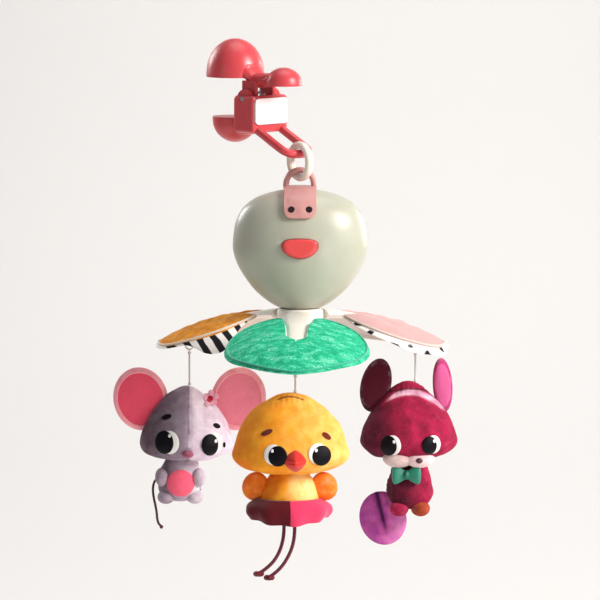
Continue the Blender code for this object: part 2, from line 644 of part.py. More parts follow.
def box(low, high):
    """A block between two corners."""
    shape = bmesh.new()
    bmesh.ops.create_cube(shape, size=1)
    low, high = Vector(low), Vector(high)
    size = high - low
    bmesh.ops.scale(shape, vec=size, verts=shape.verts)
    bmesh.ops.translate(shape, vec=(low + high) / 2, verts=shape.verts)
    return mesh_of(shape)


def eased_box(low, high, bevel):
    """A block with its edges bevelled."""
    shape = bmesh.new()
    shape.from_mesh(box(low, high))
    bmesh.ops.bevel(
        shape, geom=shape.edges[:], offset=bevel, segments=2, profile=0.5, affect="EDGES",
        clamp_overlap=True,
    )
    return mesh_of(shape)


def loft(rings, closed=False):
    """A skin over rings of points; a ring of one point is a pole, and open ends are capped."""
    shape = bmesh.new()
    rows = [[shape.verts.new(point) for point in ring] for ring in rings]
    pairs = list(zip(rows, rows[1:]))
    if closed:
        pairs.append((rows[-1], rows[0]))
    for near, far in pairs:
        count = max(len(near), len(far))
        for index in range(count):
            following = (index + 1) % count
            if len(near) == 1:
                corners = (near[0], far[index], far[following])
            elif len(far) == 1:
                corners = (near[index], near[following], far[0])
            else:
                corners = (near[index], near[following], far[following], far[index])
            shape.faces.new(corners)
    if not closed:
        for row in (rows[0], rows[-1]):
            if len(row) > 2:
                shape.faces.new(row)
    return mesh_of(shape)


def turned(profile, sides=ROUND_SIDES, closed=False):
    """A solid turned about Z from rows of radius and height."""
    rings = []
    for radius, height in profile:
        if radius == 0:
            rings.append([Vector((0, 0, height))])
            continue
        turns = [2 * math.pi * index / sides for index in range(sides)]
        rings.append([Vector((radius * math.cos(t), radius * math.sin(t), height)) for t in turns])
    return loft(rings, closed)


def rod(start, end, radius, sides=SMALL_SIDES):
    """A straight round bar between two points."""
    start, end = Vector(start), Vector(end)
    way = end - start
    mesh = turned(((radius, 0), (radius, way.length)), sides)
    return moved(mesh, Matrix.Translation(start) @ way.to_track_quat("Z", "Y").to_matrix().to_4x4())


def dome(radius, height, base, sides=ROUND_SIDES, rings=5, up=1):
    """Half of a flattened ball on a flat base, with a short straight rim."""
    rim = height / (rings + rings)
    profile = [(radius, 0)]
    for index in range(rings):
        climb = math.pi / 2 * index / rings
        profile.append((radius * math.cos(climb), rim + (height - rim) * math.sin(climb)))
    profile.append((0, height))
    return turned([(wide, base + up * high) for wide, high in profile], sides)


def prism(outline, start, end, axis="Y"):
    """A flat outline of across and up points, drawn out along an axis."""
    if axis == "Y":
        rings = [[Vector((across, at, up)) for across, up in outline] for at in (start, end)]
    elif axis == "X":
        rings = [[Vector((at, across, up)) for across, up in outline] for at in (start, end)]
    else:
        rings = [[Vector((across, up, at)) for across, up in outline] for at in (start, end)]
    return loft(rings)


def round_corners(half_width, low, high, corner, steps=4):
    """The outline of a plate with quarter-round corners."""
    points = []
    middles = (
        (half_width - corner, high - corner, 0),
        (corner - half_width, high - corner, 1),
        (corner - half_width, low + corner, 2),
        (half_width - corner, low + corner, 3),
    )
    for across, up, quarter in middles:
        for index in range(steps + 1):
            turn = math.pi / 2 * (quarter + index / steps)
            points.append((across + corner * math.cos(turn), up + corner * math.sin(turn)))
    return points


def curve_points(route, spacing):
    """Points along a smooth curve through a route, about one spacing apart."""
    points = []
    last = len(route) - 1
    for index in range(last):
        start, end = route[index], route[index + 1]
        before = route[max(index - 1, 0)]
        after = route[min(index + 2, last)]
        count = max(round((end - start).length / spacing), 1)
        lead, trail = (end - before) / 2, (after - start) / 2
        for step in range(count):
            at = step / count
            points.append(
                start * (2 * at ** 3 - 3 * at ** 2 + 1) + lead * (at ** 3 - 2 * at ** 2 + at)
                + end * (3 * at ** 2 - 2 * at ** 3) + trail * (at ** 3 - at ** 2)
            )
    points.append(route[last])
    return points


def tube(points, radius, resolution=2, closed=False):
    """A round tube along points, from a curve with a bevel and filled caps."""
    curve = bpy.data.curves.new("route", "CURVE")
    curve.dimensions = "3D"
    curve.bevel_depth = radius
    curve.bevel_resolution = resolution
    curve.use_fill_caps = not closed
    spline = curve.splines.new("POLY")
    spline.points.add(len(points) - 1)
    for spot, point in zip(spline.points, points):
        spot.co = (*point, 1)
    spline.use_cyclic_u = closed
    holder = bpy.data.objects.new("working_route", curve)
    bpy.context.collection.objects.link(holder)
    bpy.context.view_layer.update()
    graph = bpy.context.evaluated_depsgraph_get()
    drawn = bpy.data.meshes.new_from_object(holder.evaluated_get(graph))
    bpy.data.objects.remove(holder, do_unlink=True)
    shape = bmesh.new()
    shape.from_mesh(drawn)
    bmesh.ops.remove_doubles(shape, verts=shape.verts, dist=MERGE_DISTANCE)
    return mesh_of(shape)


def form(size, top, shares=BALL_SHARES, sides=FORM_SIDES, rings=FORM_RINGS, grow=0):
    """A stuffed form: oval sections whose width follows the shares; grow swells it evenly."""
    half_width = size.x / 2 + grow
    half_depth = size.y / 2 + grow
    height = size.z + 2 * grow
    low = top.z - size.z - grow
    sections = [[Vector((top.x, top.y, low))]]
    for index in range(1, rings):
        climb = (1 - math.cos(math.pi * index / rings)) / 2
        share = share_at(shares, climb)
        ring = []
        for side in range(sides):
            turn = 2 * math.pi * side / sides
            across = half_width * share * math.cos(turn)
            back = half_depth * share * math.sin(turn)
            ring.append(Vector((top.x + across, top.y + back, low + height * climb)))
        sections.append(ring)
    sections.append([Vector((top.x, top.y, low + height))])
    return loft(sections)


def ball(size, place, sides=BALL_SIDES, rings=BALL_RINGS, grow=0):
    """A small stuffed ball or pad round a middle point."""
    return form(size, place + Vector((0, 0, size.z / 2)), BALL_SHARES, sides, rings, grow)


def pillow(size, place, lean=0.0, sides=PILLOW_SIDES):
    """A flat stuffed form facing front and back, thickest in the middle, leaning sideways."""
    half = size / 2
    front = [[Vector((0, -half.y, 0))]]
    back = [[Vector((0, half.y, 0))]]
    for reach, thick in PILLOW_SHARES[1:]:
        for rings, way in ((front, -1), (back, 1)):
            ring = []
            for side in range(sides):
                turn = 2 * math.pi * side / sides
                across = half.x * reach * math.cos(turn)
                up = half.z * reach * math.sin(turn)
                ring.append(Vector((across, way * half.y * thick, up)))
            rings.append(ring)
    mesh = loft(front + back[::-1])
    return moved(mesh, Matrix.Translation(place) @ Matrix.Rotation(lean, 4, "Y"))


HINGE = Vector((0, -PIVOT_BACK, PIVOT_RISE))


def make_clip(clip, hinge):
    """The spring clip: a slotted frame with a loop, and a lever that turns on the hinge pin."""
    coral = finish("coral_plastic", (0.78, 0.12, 0.14), 0.4)
    steel = finish("spring_steel", (0.6, 0.6, 0.62), 0.3, 1.0)
    plate = finish("plate_gloss", (0.92, 0.82, 0.82), 0.2)

    slot_floor = SLOT_FLOOR_WALL - FRAME_BOTTOM
    body = eased_box(
        (-FRAME_HALF_WIDTH, -FRAME_BACK, -FRAME_BOTTOM), (FRAME_HALF_WIDTH, -FRAME_FRONT, FRAME_TOP),
        FRAME_BEVEL,
    )
    neck = eased_box(
        (-NECK_HALF_WIDTH, -FRAME_FRONT - BACK_WALL, -NECK_TOP - NECK_DEPTH),
        (NECK_HALF_WIDTH, 0, -NECK_TOP), FRAME_BEVEL,
    )
    jaw = dome(LOWER_JAW_RADIUS, LOWER_JAW_HEIGHT, 0, up=-1)
    knuckle = rod(
        HINGE - Vector((FRAME_HALF_WIDTH - FRAME_BEVEL, 0, 0)),
        HINGE + Vector((FRAME_HALF_WIDTH - FRAME_BEVEL, 0, 0)), KNUCKLE_RADIUS, ROUND_SIDES,
    )
    loop = tube(loop_route(), LOOP_BAR_RADIUS, 2)
    slot = box(
        (-SLOT_HALF_WIDTH, BACK_WALL - FRAME_BACK, slot_floor),
        (SLOT_HALF_WIDTH, OVERRUN - FRAME_FRONT, HINGE.z + KNUCKLE_RADIUS + OVERRUN),
    )
    far_side = Vector((FRAME_HALF_WIDTH + OVERRUN, 0, 0))
    bore = rod(HINGE - far_side, HINGE + far_side, CLIP_PIN_RADIUS + GAP)
    plate_middle = FRAME_TOP - PLATE_MARGIN - PLATE_HEIGHT / 2
    plate_outline = round_corners(
        PLATE_HALF_WIDTH, plate_middle - PLATE_HEIGHT / 2, plate_middle + PLATE_HEIGHT / 2, PLATE_CORNER,
    )
    plate_back = PLATE_RECESS - FRAME_BACK
    recess_outline = round_corners(
        PLATE_HALF_WIDTH + GAP, plate_middle - PLATE_HEIGHT / 2 - GAP,
        plate_middle + PLATE_HEIGHT / 2 + GAP, PLATE_CORNER + GAP,
    )
    recess = prism(recess_outline, -FRAME_BACK - OVERRUN, plate_back)
    slotted = cut(joined(body, knuckle), slot, bore, recess)
    add("clip_frame", joined(slotted, neck, jaw, loop), coral, clip)
    add("clip_plate", prism(plate_outline, plate_back - GAP - PLATE_THICKNESS, plate_back - GAP), plate, clip)
    pin_reach = Vector((FRAME_HALF_WIDTH - GAP, 0, 0))
    add("clip_pin", rod(HINGE - pin_reach, HINGE + pin_reach, CLIP_PIN_RADIUS), steel, clip)

    route = spring_route()
    print("Least gap between the spring's turns, mm:", round(least_gap(route, SPRING_WIRE_RADIUS) / MM, 2))
    add("clip_spring", tube(route, SPRING_WIRE_RADIUS, 1), steel, clip)

    add("clip_lever", shifted(make_lever(), -HINGE), coral, hinge)


def loop_route():
    """The clip's end loop: two legs and a cross bar with rounded corners."""
    root = Vector((0, BACK_WALL - FRAME_BACK, -LOOP_ROOT_DROP))
    end = Vector((0, -LOOP_BACK, -LOOP_DROP))
    way = (end - root).normalized()
    length = (end - root).length
    across = LOOP_HALF_WIDTH
    flat = [(-across, 0), (-across, (length - LOOP_CORNER) / 2)]
    steps = 4
    for side in (-1, 1):
        for index in range(steps + 1):
            swing = math.pi / 2 * index / steps
            if side < 0:
                offset = (-math.cos(swing), math.sin(swing))
            else:
                offset = (math.sin(swing), math.cos(swing))
            flat.append((
                side * (across - LOOP_CORNER) + LOOP_CORNER * offset[0],
                length - LOOP_CORNER + LOOP_CORNER * offset[1],
            ))
    flat += [(across, (length - LOOP_CORNER) / 2), (across, 0)]
    return [root + Vector((along, 0, 0)) + way * out for along, out in flat]


def spring_route():
    """A torsion spring's wire: a leg up, its turns round the pin, and a leg down."""
    half = SPRING_PITCH * SPRING_TURNS / 2
    high = LEVER_RISE * BRIDGE_SHARES[2][1] - UPPER_JAW_RADIUS * BRIDGE_SHARES[2][3]
    up = high - GAP - SPRING_WIRE_RADIUS
    down = SLOT_FLOOR_WALL - FRAME_BOTTOM - HINGE.z + GAP + SPRING_WIRE_RADIUS
    points = [HINGE + Vector((-half, -SPRING_RADIUS, up))]
    count = SPRING_TURNS * SPRING_TURN_POINTS
    for index in range(count + 1):
        turn = math.pi + 2 * math.pi * index / SPRING_TURN_POINTS
        along = 2 * half * index / count - half
        points.append(HINGE + Vector((along, SPRING_RADIUS * math.cos(turn), SPRING_RADIUS * math.sin(turn))))
    points.append(HINGE + Vector((half, -SPRING_RADIUS, down)))
    return points


def least_gap(route, radius):
    """The smallest clear space between stretches of a wire that aren't next to each other."""
    apart = SPRING_TURN_POINTS // 2
    gaps = [
        (a - b).length - 2 * radius
        for index, a in enumerate(route) for b in route[index + apart:]
    ]
    return min(gaps)


def make_lever():
    """The upper jaw, the bridge back to the thumb pad, and two knuckles round the hinge pin."""
    jaw = dome(UPPER_JAW_RADIUS, UPPER_JAW_HEIGHT, JAW_GAP)
    thumb = shifted(dome(THUMB_RADIUS, THUMB_HEIGHT, THUMB_BASE), Vector((0, -LEVER_LENGTH, 0)))
    sections = []
    for back, rise, wide, high in BRIDGE_SHARES:
        ring = []
        for side in range(ARM_SECTION_SIDES + 2):
            turn = 2 * math.pi * side / (ARM_SECTION_SIDES + 2)
            ring.append(Vector((
                UPPER_JAW_RADIUS * wide * math.cos(turn), -LEVER_LENGTH * back,
                HINGE.z + LEVER_RISE * rise + UPPER_JAW_RADIUS * high * math.sin(turn),
            )))
        sections.append(ring)
    pieces = [thumb, loft(sections)]
    steps = 12
    outline = [
        (HINGE.y + KNUCKLE_RADIUS, HINGE.z + LEVER_RISE * BRIDGE_SHARES[2][1]),
        (HINGE.y - KNUCKLE_RADIUS, HINGE.z + LEVER_RISE * BRIDGE_SHARES[2][1]),
    ]
    for index in range(steps + 1):
        turn = math.pi + math.pi * index / steps
        outline.append((HINGE.y + KNUCKLE_RADIUS * math.cos(turn), HINGE.z + KNUCKLE_RADIUS * math.sin(turn)))
    outer = SLOT_HALF_WIDTH - 2 * GAP
    for start, end in ((-outer, CHEEK_WALL - outer), (outer - CHEEK_WALL, outer)):
        pieces.append(prism(outline, start, end, "X"))
    reach = Vector((FRAME_HALF_WIDTH, 0, 0))
    bore = rod(HINGE - reach, HINGE + reach, CLIP_PIN_RADIUS + GAP)
    return cut(joined(jaw, *pieces), bore)


def make_ring(holder):
    """The link ring between the clip's loop and the hanger tab's eye."""
    cream = finish("ring_cream", (0.86, 0.8, 0.7), 0.35)
    sections = []
    around = ROUND_SIDES
    for index in range(around):
        turn = 2 * math.pi * index / around
        ring = []
        for side in range(RING_SECTION_SIDES):
            swing = 2 * math.pi * side / RING_SECTION_SIDES
            reach = RING_RADIUS + RING_HALF_HEIGHT * math.cos(swing)
            ring.append(Vector((
                reach * math.cos(turn), RING_HALF_THICKNESS * math.sin(swing), reach * math.sin(turn),
            )))
        sections.append(ring)
    mesh = loft(sections, closed=True)
    mesh = moved(mesh, Matrix.Rotation(RING_TURN, 4, "Z"))
    add("link_ring", shifted(mesh, Vector((0, 0, RING_MIDDLE_Z - LOOP_BAR_Z))), cream, holder)


def box_form(grow=0, sides=BOX_SIDES, rings=BOX_RINGS):
    """The music box's outside, grown or shrunk evenly; Z is zero at its flat bottom."""
    sections = []
    for index in range(rings + 1):
        climb = (1 - math.cos(math.pi * index / rings)) / 2
        half_width = BOX_HALF_WIDTH * share_at(BOX_WIDTH_SHARES, climb) + grow
        half_depth = BOX_HALF_DEPTH * share_at(BOX_DEPTH_SHARES, climb) + grow
        up = climb * (BOX_HEIGHT + 2 * grow) - grow
        turns = [2 * math.pi * side / sides for side in range(sides)]
        sections.append([Vector((half_width * math.cos(t), half_depth * math.sin(t), up)) for t in turns])
    return loft(sections)


def box_front(height, side=0.0):
    """A point on the music box's front and the outward direction there."""
    def reach(up):
        half_width = BOX_HALF_WIDTH * share_at(BOX_WIDTH_SHARES, up / BOX_HEIGHT)
        half_depth = BOX_HALF_DEPTH * share_at(BOX_DEPTH_SHARES, up / BOX_HEIGHT)
        return half_depth * math.sqrt(max(1 - (side / half_width) ** 2, 0))
    step = GAP
    slope = (reach(height + step) - reach(height - step)) / (2 * step)
    out = Vector((0, -1, -slope)).normalized()
    return Vector((side, -reach(height), height)), out


def make_tab(box_frame):
    """The hanger tab: an eye over a strap that follows the music box's top, and its two screws."""
    pink = finish("tab_pink", (0.85, 0.42, 0.42), 0.4)
    dark = finish("screw_dark", (0.12, 0.1, 0.1), 0.35, 1.0)
    outline = round_corners(STRAP_HALF_WIDTH, STRAP_LOW, BOX_HEIGHT + STRAP_CORNER + OVERRUN, STRAP_CORNER)
    keep = prism(outline, -BOX_HALF_DEPTH - OVERRUN, BOX_HALF_DEPTH + OVERRUN)
    strap = within(cut(box_form(GAP + STRAP_THICKNESS), box_form(GAP)), keep)
    eye_up = BOX_HEIGHT + GAP + STRAP_THICKNESS + STRAP_SEAT
    root = BOX_HEIGHT + GAP + STRAP_THICKNESS * EYE_ROOT_SHARE
    points = [Vector((-EYE_RADIUS, 0, root))]
    for index in range(EYE_POINTS + 1):
        turn = math.pi - math.pi * index / EYE_POINTS
        points.append(Vector((EYE_RADIUS * math.cos(turn), 0, eye_up + EYE_RADIUS * math.sin(turn))))
    points.append(Vector((EYE_RADIUS, 0, root)))
    strap = joined(strap, tube(points, EYE_BAR_RADIUS, 2))
    cutters = []
    for side, name in ((-1, "left"), (1, "right")):
        spot, out = box_front(TAB_SCREW_HEIGHT, side * TAB_SCREW_SIDE)
        seat = spot + out * (GAP + STRAP_THICKNESS - TAB_SCREW_HEAD)
        tip = seat - out * TAB_SCREW_LENGTH
        cutters.append(rod(seat, seat + out * OVERRUN, TAB_SCREW_HEAD_RADIUS + GAP))
        cutters.append(rod(tip - out * GAP, seat + out * GAP, TAB_SCREW_RADIUS + GAP))
        head = rod(seat + out * GAP, seat + out * (GAP + TAB_SCREW_HEAD), TAB_SCREW_HEAD_RADIUS)
        shank = rod(tip, seat + out * 2 * GAP, TAB_SCREW_RADIUS)
        add(f"hanger_screw_{name}", joined(head, shank), dark, box_frame)
    add("hanger_tab", cut(strap, *cutters), pink, box_frame)
    return cutters


def post_spots():
    """The four places where screws join the shells."""
    return [
        Vector((-UPPER_POST_SIDE, 0, UPPER_POST_HEIGHT)), Vector((UPPER_POST_SIDE, 0, UPPER_POST_HEIGHT)),
        Vector((-LOWER_POST_SIDE, 0, LOWER_POST_HEIGHT)), Vector((LOWER_POST_SIDE, 0, LOWER_POST_HEIGHT)),
    ]


def button_outline(grow=0.0):
    """The play button's outline: nearly flat on top and full below."""
    points = []
    for side in range(BUTTON_SIDES):
        turn = 2 * math.pi * side / BUTTON_SIDES
        across, up = math.cos(turn), math.sin(turn)
        if up >= 0:
            power = BUTTON_TOP_POWER
            reach = BUTTON_RISE + grow
        else:
            power = 1
            reach = BUTTON_FALL + grow
        points.append((
            (BUTTON_HALF_WIDTH + grow) * across,
            BUTTON_HEIGHT + reach * math.copysign(abs(up) ** power, up),
        ))
    return points


def scaled_outline(outline, share):
    """The button's outline drawn in towards its middle."""
    return [(across * share, BUTTON_HEIGHT + (up - BUTTON_HEIGHT) * share) for across, up in outline]


def make_shells(box_frame, tab_cutters):
    """Front and rear shells with their posts, collar, pegs and holes, the rear door, and the screws."""
    sage = finish("shell_sage", (0.72, 0.73, 0.64), 0.45)
    dark = finish("shell_screw_steel", (0.45, 0.45, 0.47), 0.35, 1.0)
    far = BOX_HALF_WIDTH + OVERRUN
    deep = BOX_HALF_DEPTH + OVERRUN

    inside = box_form(-BOX_WALL)
    above = box((-far, -deep, BOX_FLOOR), (far, deep, BOX_HEIGHT + OVERRUN))
    through_box = Vector((0, deep, 0))
    posts = [rod(spot - through_box, spot + through_box, POST_RADIUS) for spot in post_spots()]
    hollow = cut(within(inside, above), *posts)
    whole = cut(box_form(), hollow, spindle_bore())
    front_half = box((-far, -deep, -OVERRUN), (far, -GAP / 2, BOX_HEIGHT + OVERRUN))
    rear_half = box((-far, GAP / 2, -OVERRUN), (far, deep, BOX_HEIGHT + OVERRUN))
    front = within(whole, front_half)
    rear = within(whole, rear_half)

    pegs = []
    peg_start = -BOARD_BACK - BOARD_THICKNESS - GAP
    peg_side = BOARD_HALF_WIDTH - BOARD_PEG_INSET
    for side in (-1, 1):
        for height in (BOARD_LOW + BOARD_PEG_INSET, BOARD_HIGH - BOARD_PEG_INSET):
            peg = rod((side * peg_side, -deep, height), (side * peg_side, peg_start, height), BOARD_PEG_RADIUS)
            pegs.append(within(peg, box_form(-BOX_WALL / 2)))
    front = joined(front, *pegs)
    button_hole = prism(button_outline(GAP), -deep, BUTTON_SKIRT - BOX_HALF_DEPTH)
    blind = [
        rod(spot - Vector((0, SCREW_REACH + GAP, 0)), spot, SCREW_RADIUS + GAP, SMALL_SIDES)
        for spot in post_spots()
    ]
    front = cut(front, button_hole, *blind, *tab_cutters)

    collar_spot = Vector((0, 0, SPEAKER_HEIGHT))
    collar_radius = SPEAKER_RADIUS + GAP + COLLAR_WALL
    start, end = Vector((0, COLLAR_START, 0)), Vector((0, deep, 0))
    collar = rod(collar_spot + start, collar_spot + end, collar_radius, ROUND_SIDES)
    collar = within(collar, box_form(-BOX_WALL / 2))
    seat = Vector((0, SPEAKER_BACK + GAP, 0))
    throat = rod(collar_spot, collar_spot + seat, SPEAKER_RADIUS + GAP, ROUND_SIDES)
    horn = rod(collar_spot + seat / 2, collar_spot + end, SPEAKER_RADIUS - SPEAKER_RIM, ROUND_SIDES)
    horn = within(horn, box_form(-BOX_WALL))
    rear = cut(joined(rear, collar), throat, horn)
    grille = []
    spots = [Vector((0, 0, SPEAKER_HEIGHT))]
    for index in range(GRILLE_HOLES):
        turn = 2 * math.pi * index / GRILLE_HOLES
        spots.append(Vector((
            GRILLE_CIRCLE * math.cos(turn), 0, SPEAKER_HEIGHT + GRILLE_CIRCLE * math.sin(turn),
        )))
    for spot in spots:
        grille.append(rod(spot + seat, spot + end, GRILLE_RADIUS, SMALL_SIDES))
    through = [
        rod(spot, spot + Vector((0, deep, 0)), SCREW_RADIUS + GAP, SMALL_SIDES) for spot in post_spots()
    ]
    sunk = [
        rod(spot + Vector((0, SCREW_SEAT, 0)), spot + Vector((0, deep, 0)), SCREW_HEAD_RADIUS + GAP)
        for spot in post_spots()
    ]
    door_outline = round_corners(DOOR_HALF_WIDTH, DOOR_LOW, DOOR_HIGH, DOOR_CORNER)
    opening_outline = round_corners(
        DOOR_HALF_WIDTH + GAP, DOOR_LOW - GAP, DOOR_HIGH + GAP, DOOR_CORNER + GAP,
    )
    opening = prism(opening_outline, GAP, deep)
    rear = cut(rear, *grille, *through, *sunk, opening, *tab_cutters)

    wall = cut(box_form(), box_form(-BOX_WALL))
    door = within(wall, prism(door_outline, GAP, deep))
    boss = Vector((0, 0, DOOR_BOSS_HEIGHT))
    door_surface, _ = box_front(boss.z)
    door_back = -door_surface.y
    head_seat = door_back - SCREW_HEAD
    door_hole = rod(boss, boss + end, SCREW_RADIUS + GAP, SMALL_SIDES)
    door_sink = rod(boss + Vector((0, head_seat, 0)), boss + end, SCREW_HEAD_RADIUS + GAP)
    add("front_shell", front, sage, box_frame)
    add("rear_shell", rear, sage, box_frame)
    add("battery_door", cut(door, door_hole, door_sink), sage, box_frame)

    for spot, name in zip(post_spots(), POST_NAMES):
        rest = spot + Vector((0, SCREW_SEAT + GAP, 0))
        head = rod(rest, rest + Vector((0, SCREW_HEAD, 0)), SCREW_HEAD_RADIUS)
        shank = rod(spot - Vector((0, SCREW_REACH, 0)), rest + Vector((0, GAP, 0)), SCREW_RADIUS)
        add(f"shell_screw_{name}", joined(head, shank), dark, box_frame)
    rest = boss + Vector((0, head_seat + GAP, 0))
    head = rod(rest, rest + Vector((0, SCREW_HEAD - GAP, 0)), SCREW_HEAD_RADIUS)
    shank = rod(rest - Vector((0, DOOR_SCREW_LENGTH, 0)), rest + Vector((0, GAP, 0)), SCREW_RADIUS)
    add("door_screw", joined(head, shank), dark, box_frame)
    return rest.y - DOOR_SCREW_LENGTH, head_seat


def cell_middles():
    """Where the cells lie, across the tray and one above the other."""
    first = Vector((0, TRAY_FRONT / 2 + GAP + CELL_RADIUS, CELL_FIRST))
    return [first + Vector((0, 0, CELL_PITCH * index)) for index in range(len(CELL_NAMES))]


def make_inside(box_frame, screw_tip, door_seat):
    """What the music box holds: cells, contacts, tray, board, speaker and play button."""
    black = finish("inner_black", (0.04, 0.04, 0.05), 0.6)
    green = finish("board_green", (0.03, 0.22, 0.1), 0.5)
    cell = finish("cell_jacket", (0.75, 0.55, 0.12), 0.3, 0.6)
    nickel = finish("contact_nickel", (0.7, 0.68, 0.62), 0.3, 1.0)
    cone = finish("speaker_grey", (0.2, 0.2, 0.21), 0.5)
    red = finish("button_red", (0.75, 0.08, 0.08), 0.35)

    half = Vector((CELL_LENGTH / 2, 0, 0))
    for index, (middle, name) in enumerate(zip(cell_middles(), CELL_NAMES)):
        way = (-1) ** index
        jacket_end = middle + way * (half - Vector((CELL_TIP, 0, 0)))
        jacket = rod(middle - way * half, jacket_end, CELL_RADIUS, CELL_SIDES)
        tip_start = jacket_end - way * Vector((CELL_TIP, 0, 0))
        tip = rod(tip_start, middle + way * half, CELL_TIP_RADIUS, SMALL_SIDES)
        add(f"battery_{name}", joined(jacket, tip), cell, box_frame)

    middle_depth = cell_middles()[0].y
    room = box_form(-BOX_WALL - GAP)
    for side, name in ((-1, "left"), (1, "right")):
        ends = sorted((side * (CONTACT_FAR - CONTACT_THICKNESS), side * CONTACT_FAR))
        strip = box(
            (ends[0], middle_depth - CONTACT_HALF_DEPTH, TRAY_LOW + TRAY_WALL + GAP),
            (ends[1], middle_depth + CONTACT_HALF_DEPTH, TRAY_HIGH - TRAY_WALL - GAP),
        )
        add(f"battery_contact_{name}", within(strip, room), nickel, box_frame)

    tray = box((-TRAY_OUTER, -TRAY_FRONT, TRAY_LOW), (TRAY_OUTER, TRAY_BACK, TRAY_HIGH))
    well = box(
        (-TRAY_INNER, TRAY_FRONT / 2, TRAY_LOW + TRAY_WALL),
        (TRAY_INNER, TRAY_BACK + OVERRUN, TRAY_HIGH - TRAY_WALL),
    )
    boss_spot = Vector((0, 0, DOOR_BOSS_HEIGHT))
    boss_end = Vector((0, door_seat - BOX_WALL + SCREW_HEAD - 2 * GAP, 0))
    boss = rod(boss_spot, boss_spot + boss_end, DOOR_BOSS_RADIUS)
    thread = rod(boss_spot + Vector((0, screw_tip - GAP, 0)), boss_spot + boss_end * 2, SCREW_RADIUS + GAP)
    tray = within(cut(joined(cut(tray, well), boss), thread), room)
    add("battery_tray", tray, black, box_frame)

    board_front = -BOARD_BACK - BOARD_THICKNESS
    board = box((-BOARD_HALF_WIDTH, board_front, BOARD_LOW), (BOARD_HALF_WIDTH, -BOARD_BACK, BOARD_HIGH))
    switch = box(
        (-SWITCH_HALF_WIDTH, board_front - SWITCH_DEPTH, BUTTON_HEIGHT - SWITCH_HALF_WIDTH),
        (SWITCH_HALF_WIDTH, -BOARD_BACK - GAP, BUTTON_HEIGHT + SWITCH_HALF_WIDTH),
    )
    add("circuit_board", joined(board, switch), green, box_frame)

    spot = Vector((0, 0, SPEAKER_HEIGHT))
    face = Vector((0, SPEAKER_BACK, 0))
    depth = Vector((0, SPEAKER_DEPTH, 0))
    basket = rod(spot + face - depth / 2, spot + face, SPEAKER_RADIUS, ROUND_SIDES)
    magnet_end = spot + face - depth * SPEAKER_MAGNET_SHARE
    magnet = rod(spot + face - depth, magnet_end, SPEAKER_MAGNET_RADIUS, ROUND_SIDES)
    add("speaker", joined(basket, magnet), cone, box_frame)

    press = pivot("button_press", (0, -BOX_HALF_DEPTH, 0), box_frame)
    crown = -BUTTON_PROUD
    skirt = BUTTON_SKIRT
    outline = button_outline()
    shoulder = crown + BUTTON_CROWN * BUTTON_SHOULDER_DROP_SHARE
    stations = (
        (crown, BUTTON_FACE_SHARE), (shoulder, BUTTON_SHOULDER_SHARE), (crown + BUTTON_CROWN, 1), (skirt, 1),
    )
    rings = []
    for at, share in stations:
        rings.append([Vector((across, at, up)) for across, up in scaled_outline(outline, share)])
    cap = loft(rings)
    lip = scaled_outline(outline, 1 + BUTTON_FLANGE_LIP / BUTTON_HALF_WIDTH)
    flange = prism(lip, skirt - BUTTON_FLANGE / 2, skirt + BUTTON_FLANGE / 2)
    switch_face = BOX_HALF_DEPTH + board_front - SWITCH_DEPTH
    stem_end = switch_face - BUTTON_TRAVEL - BUTTON_STEM_GAP
    stem = rod((0, skirt, BUTTON_HEIGHT), (0, stem_end, BUTTON_HEIGHT), BUTTON_STEM_RADIUS)
    add("play_button", joined(cap, flange, stem), red, press)


def spindle_bore():
    """The hole through the music box's solid floor."""
    return rod((0, 0, -OVERRUN), (0, 0, BOX_FLOOR + OVERRUN / 2), SPINDLE_RADIUS + GAP, ROUND_SIDES)


def make_spindle(box_frame):
    """The spindle that the hub turns on, held over the box's floor by a clip."""
    steel = finish("spindle_steel", (0.62, 0.62, 0.64), 0.25, 1.0)
    hub_low = -HUB_DROP - HUB_FALL
    clip_low = BOX_FLOOR + GAP
    groove_low = clip_low - GAP / 2
    groove_high = clip_low + CIRCLIP_THICKNESS + GAP / 2
    groove_radius = SPINDLE_RADIUS - SPINDLE_GROOVE
    head_top = hub_low - GAP
    profile = (
        (0, head_top - SPINDLE_HEAD), (SPINDLE_HEAD_RADIUS - HUB_EDGE / 2, head_top - SPINDLE_HEAD),
        (SPINDLE_HEAD_RADIUS, head_top - SPINDLE_HEAD / 2), (SPINDLE_HEAD_RADIUS, head_top),
        (SPINDLE_RADIUS, head_top), (SPINDLE_RADIUS, groove_low), (groove_radius, groove_low),
        (groove_radius, groove_high), (SPINDLE_RADIUS, groove_high),
        (SPINDLE_RADIUS, groove_high + SPINDLE_GROOVE / 2), (0, groove_high + SPINDLE_GROOVE),
    )
    add("spindle", turned(profile), steel, box_frame)
    inner = groove_radius + GAP
    outline = []
    for radius, order in ((CIRCLIP_RADIUS, 1), (inner, -1)):
        sweep = 2 * math.pi - CIRCLIP_MOUTH
        turns = [
            CIRCLIP_MOUTH / 2 + sweep * index / CIRCLIP_POINTS for index in range(CIRCLIP_POINTS + 1)
        ]
        outline += [(radius * math.cos(t), radius * math.sin(t)) for t in turns[::order]]
    clip = prism(outline, clip_low, clip_low + CIRCLIP_THICKNESS, "Z")
    add("spindle_clip", clip, steel, box_frame)


def arm_rise(reach):
    """The height of an arm's middle line, drooping towards its end."""
    return -ARM_DROP * (reach / ARM_DROP_REACH) ** 2


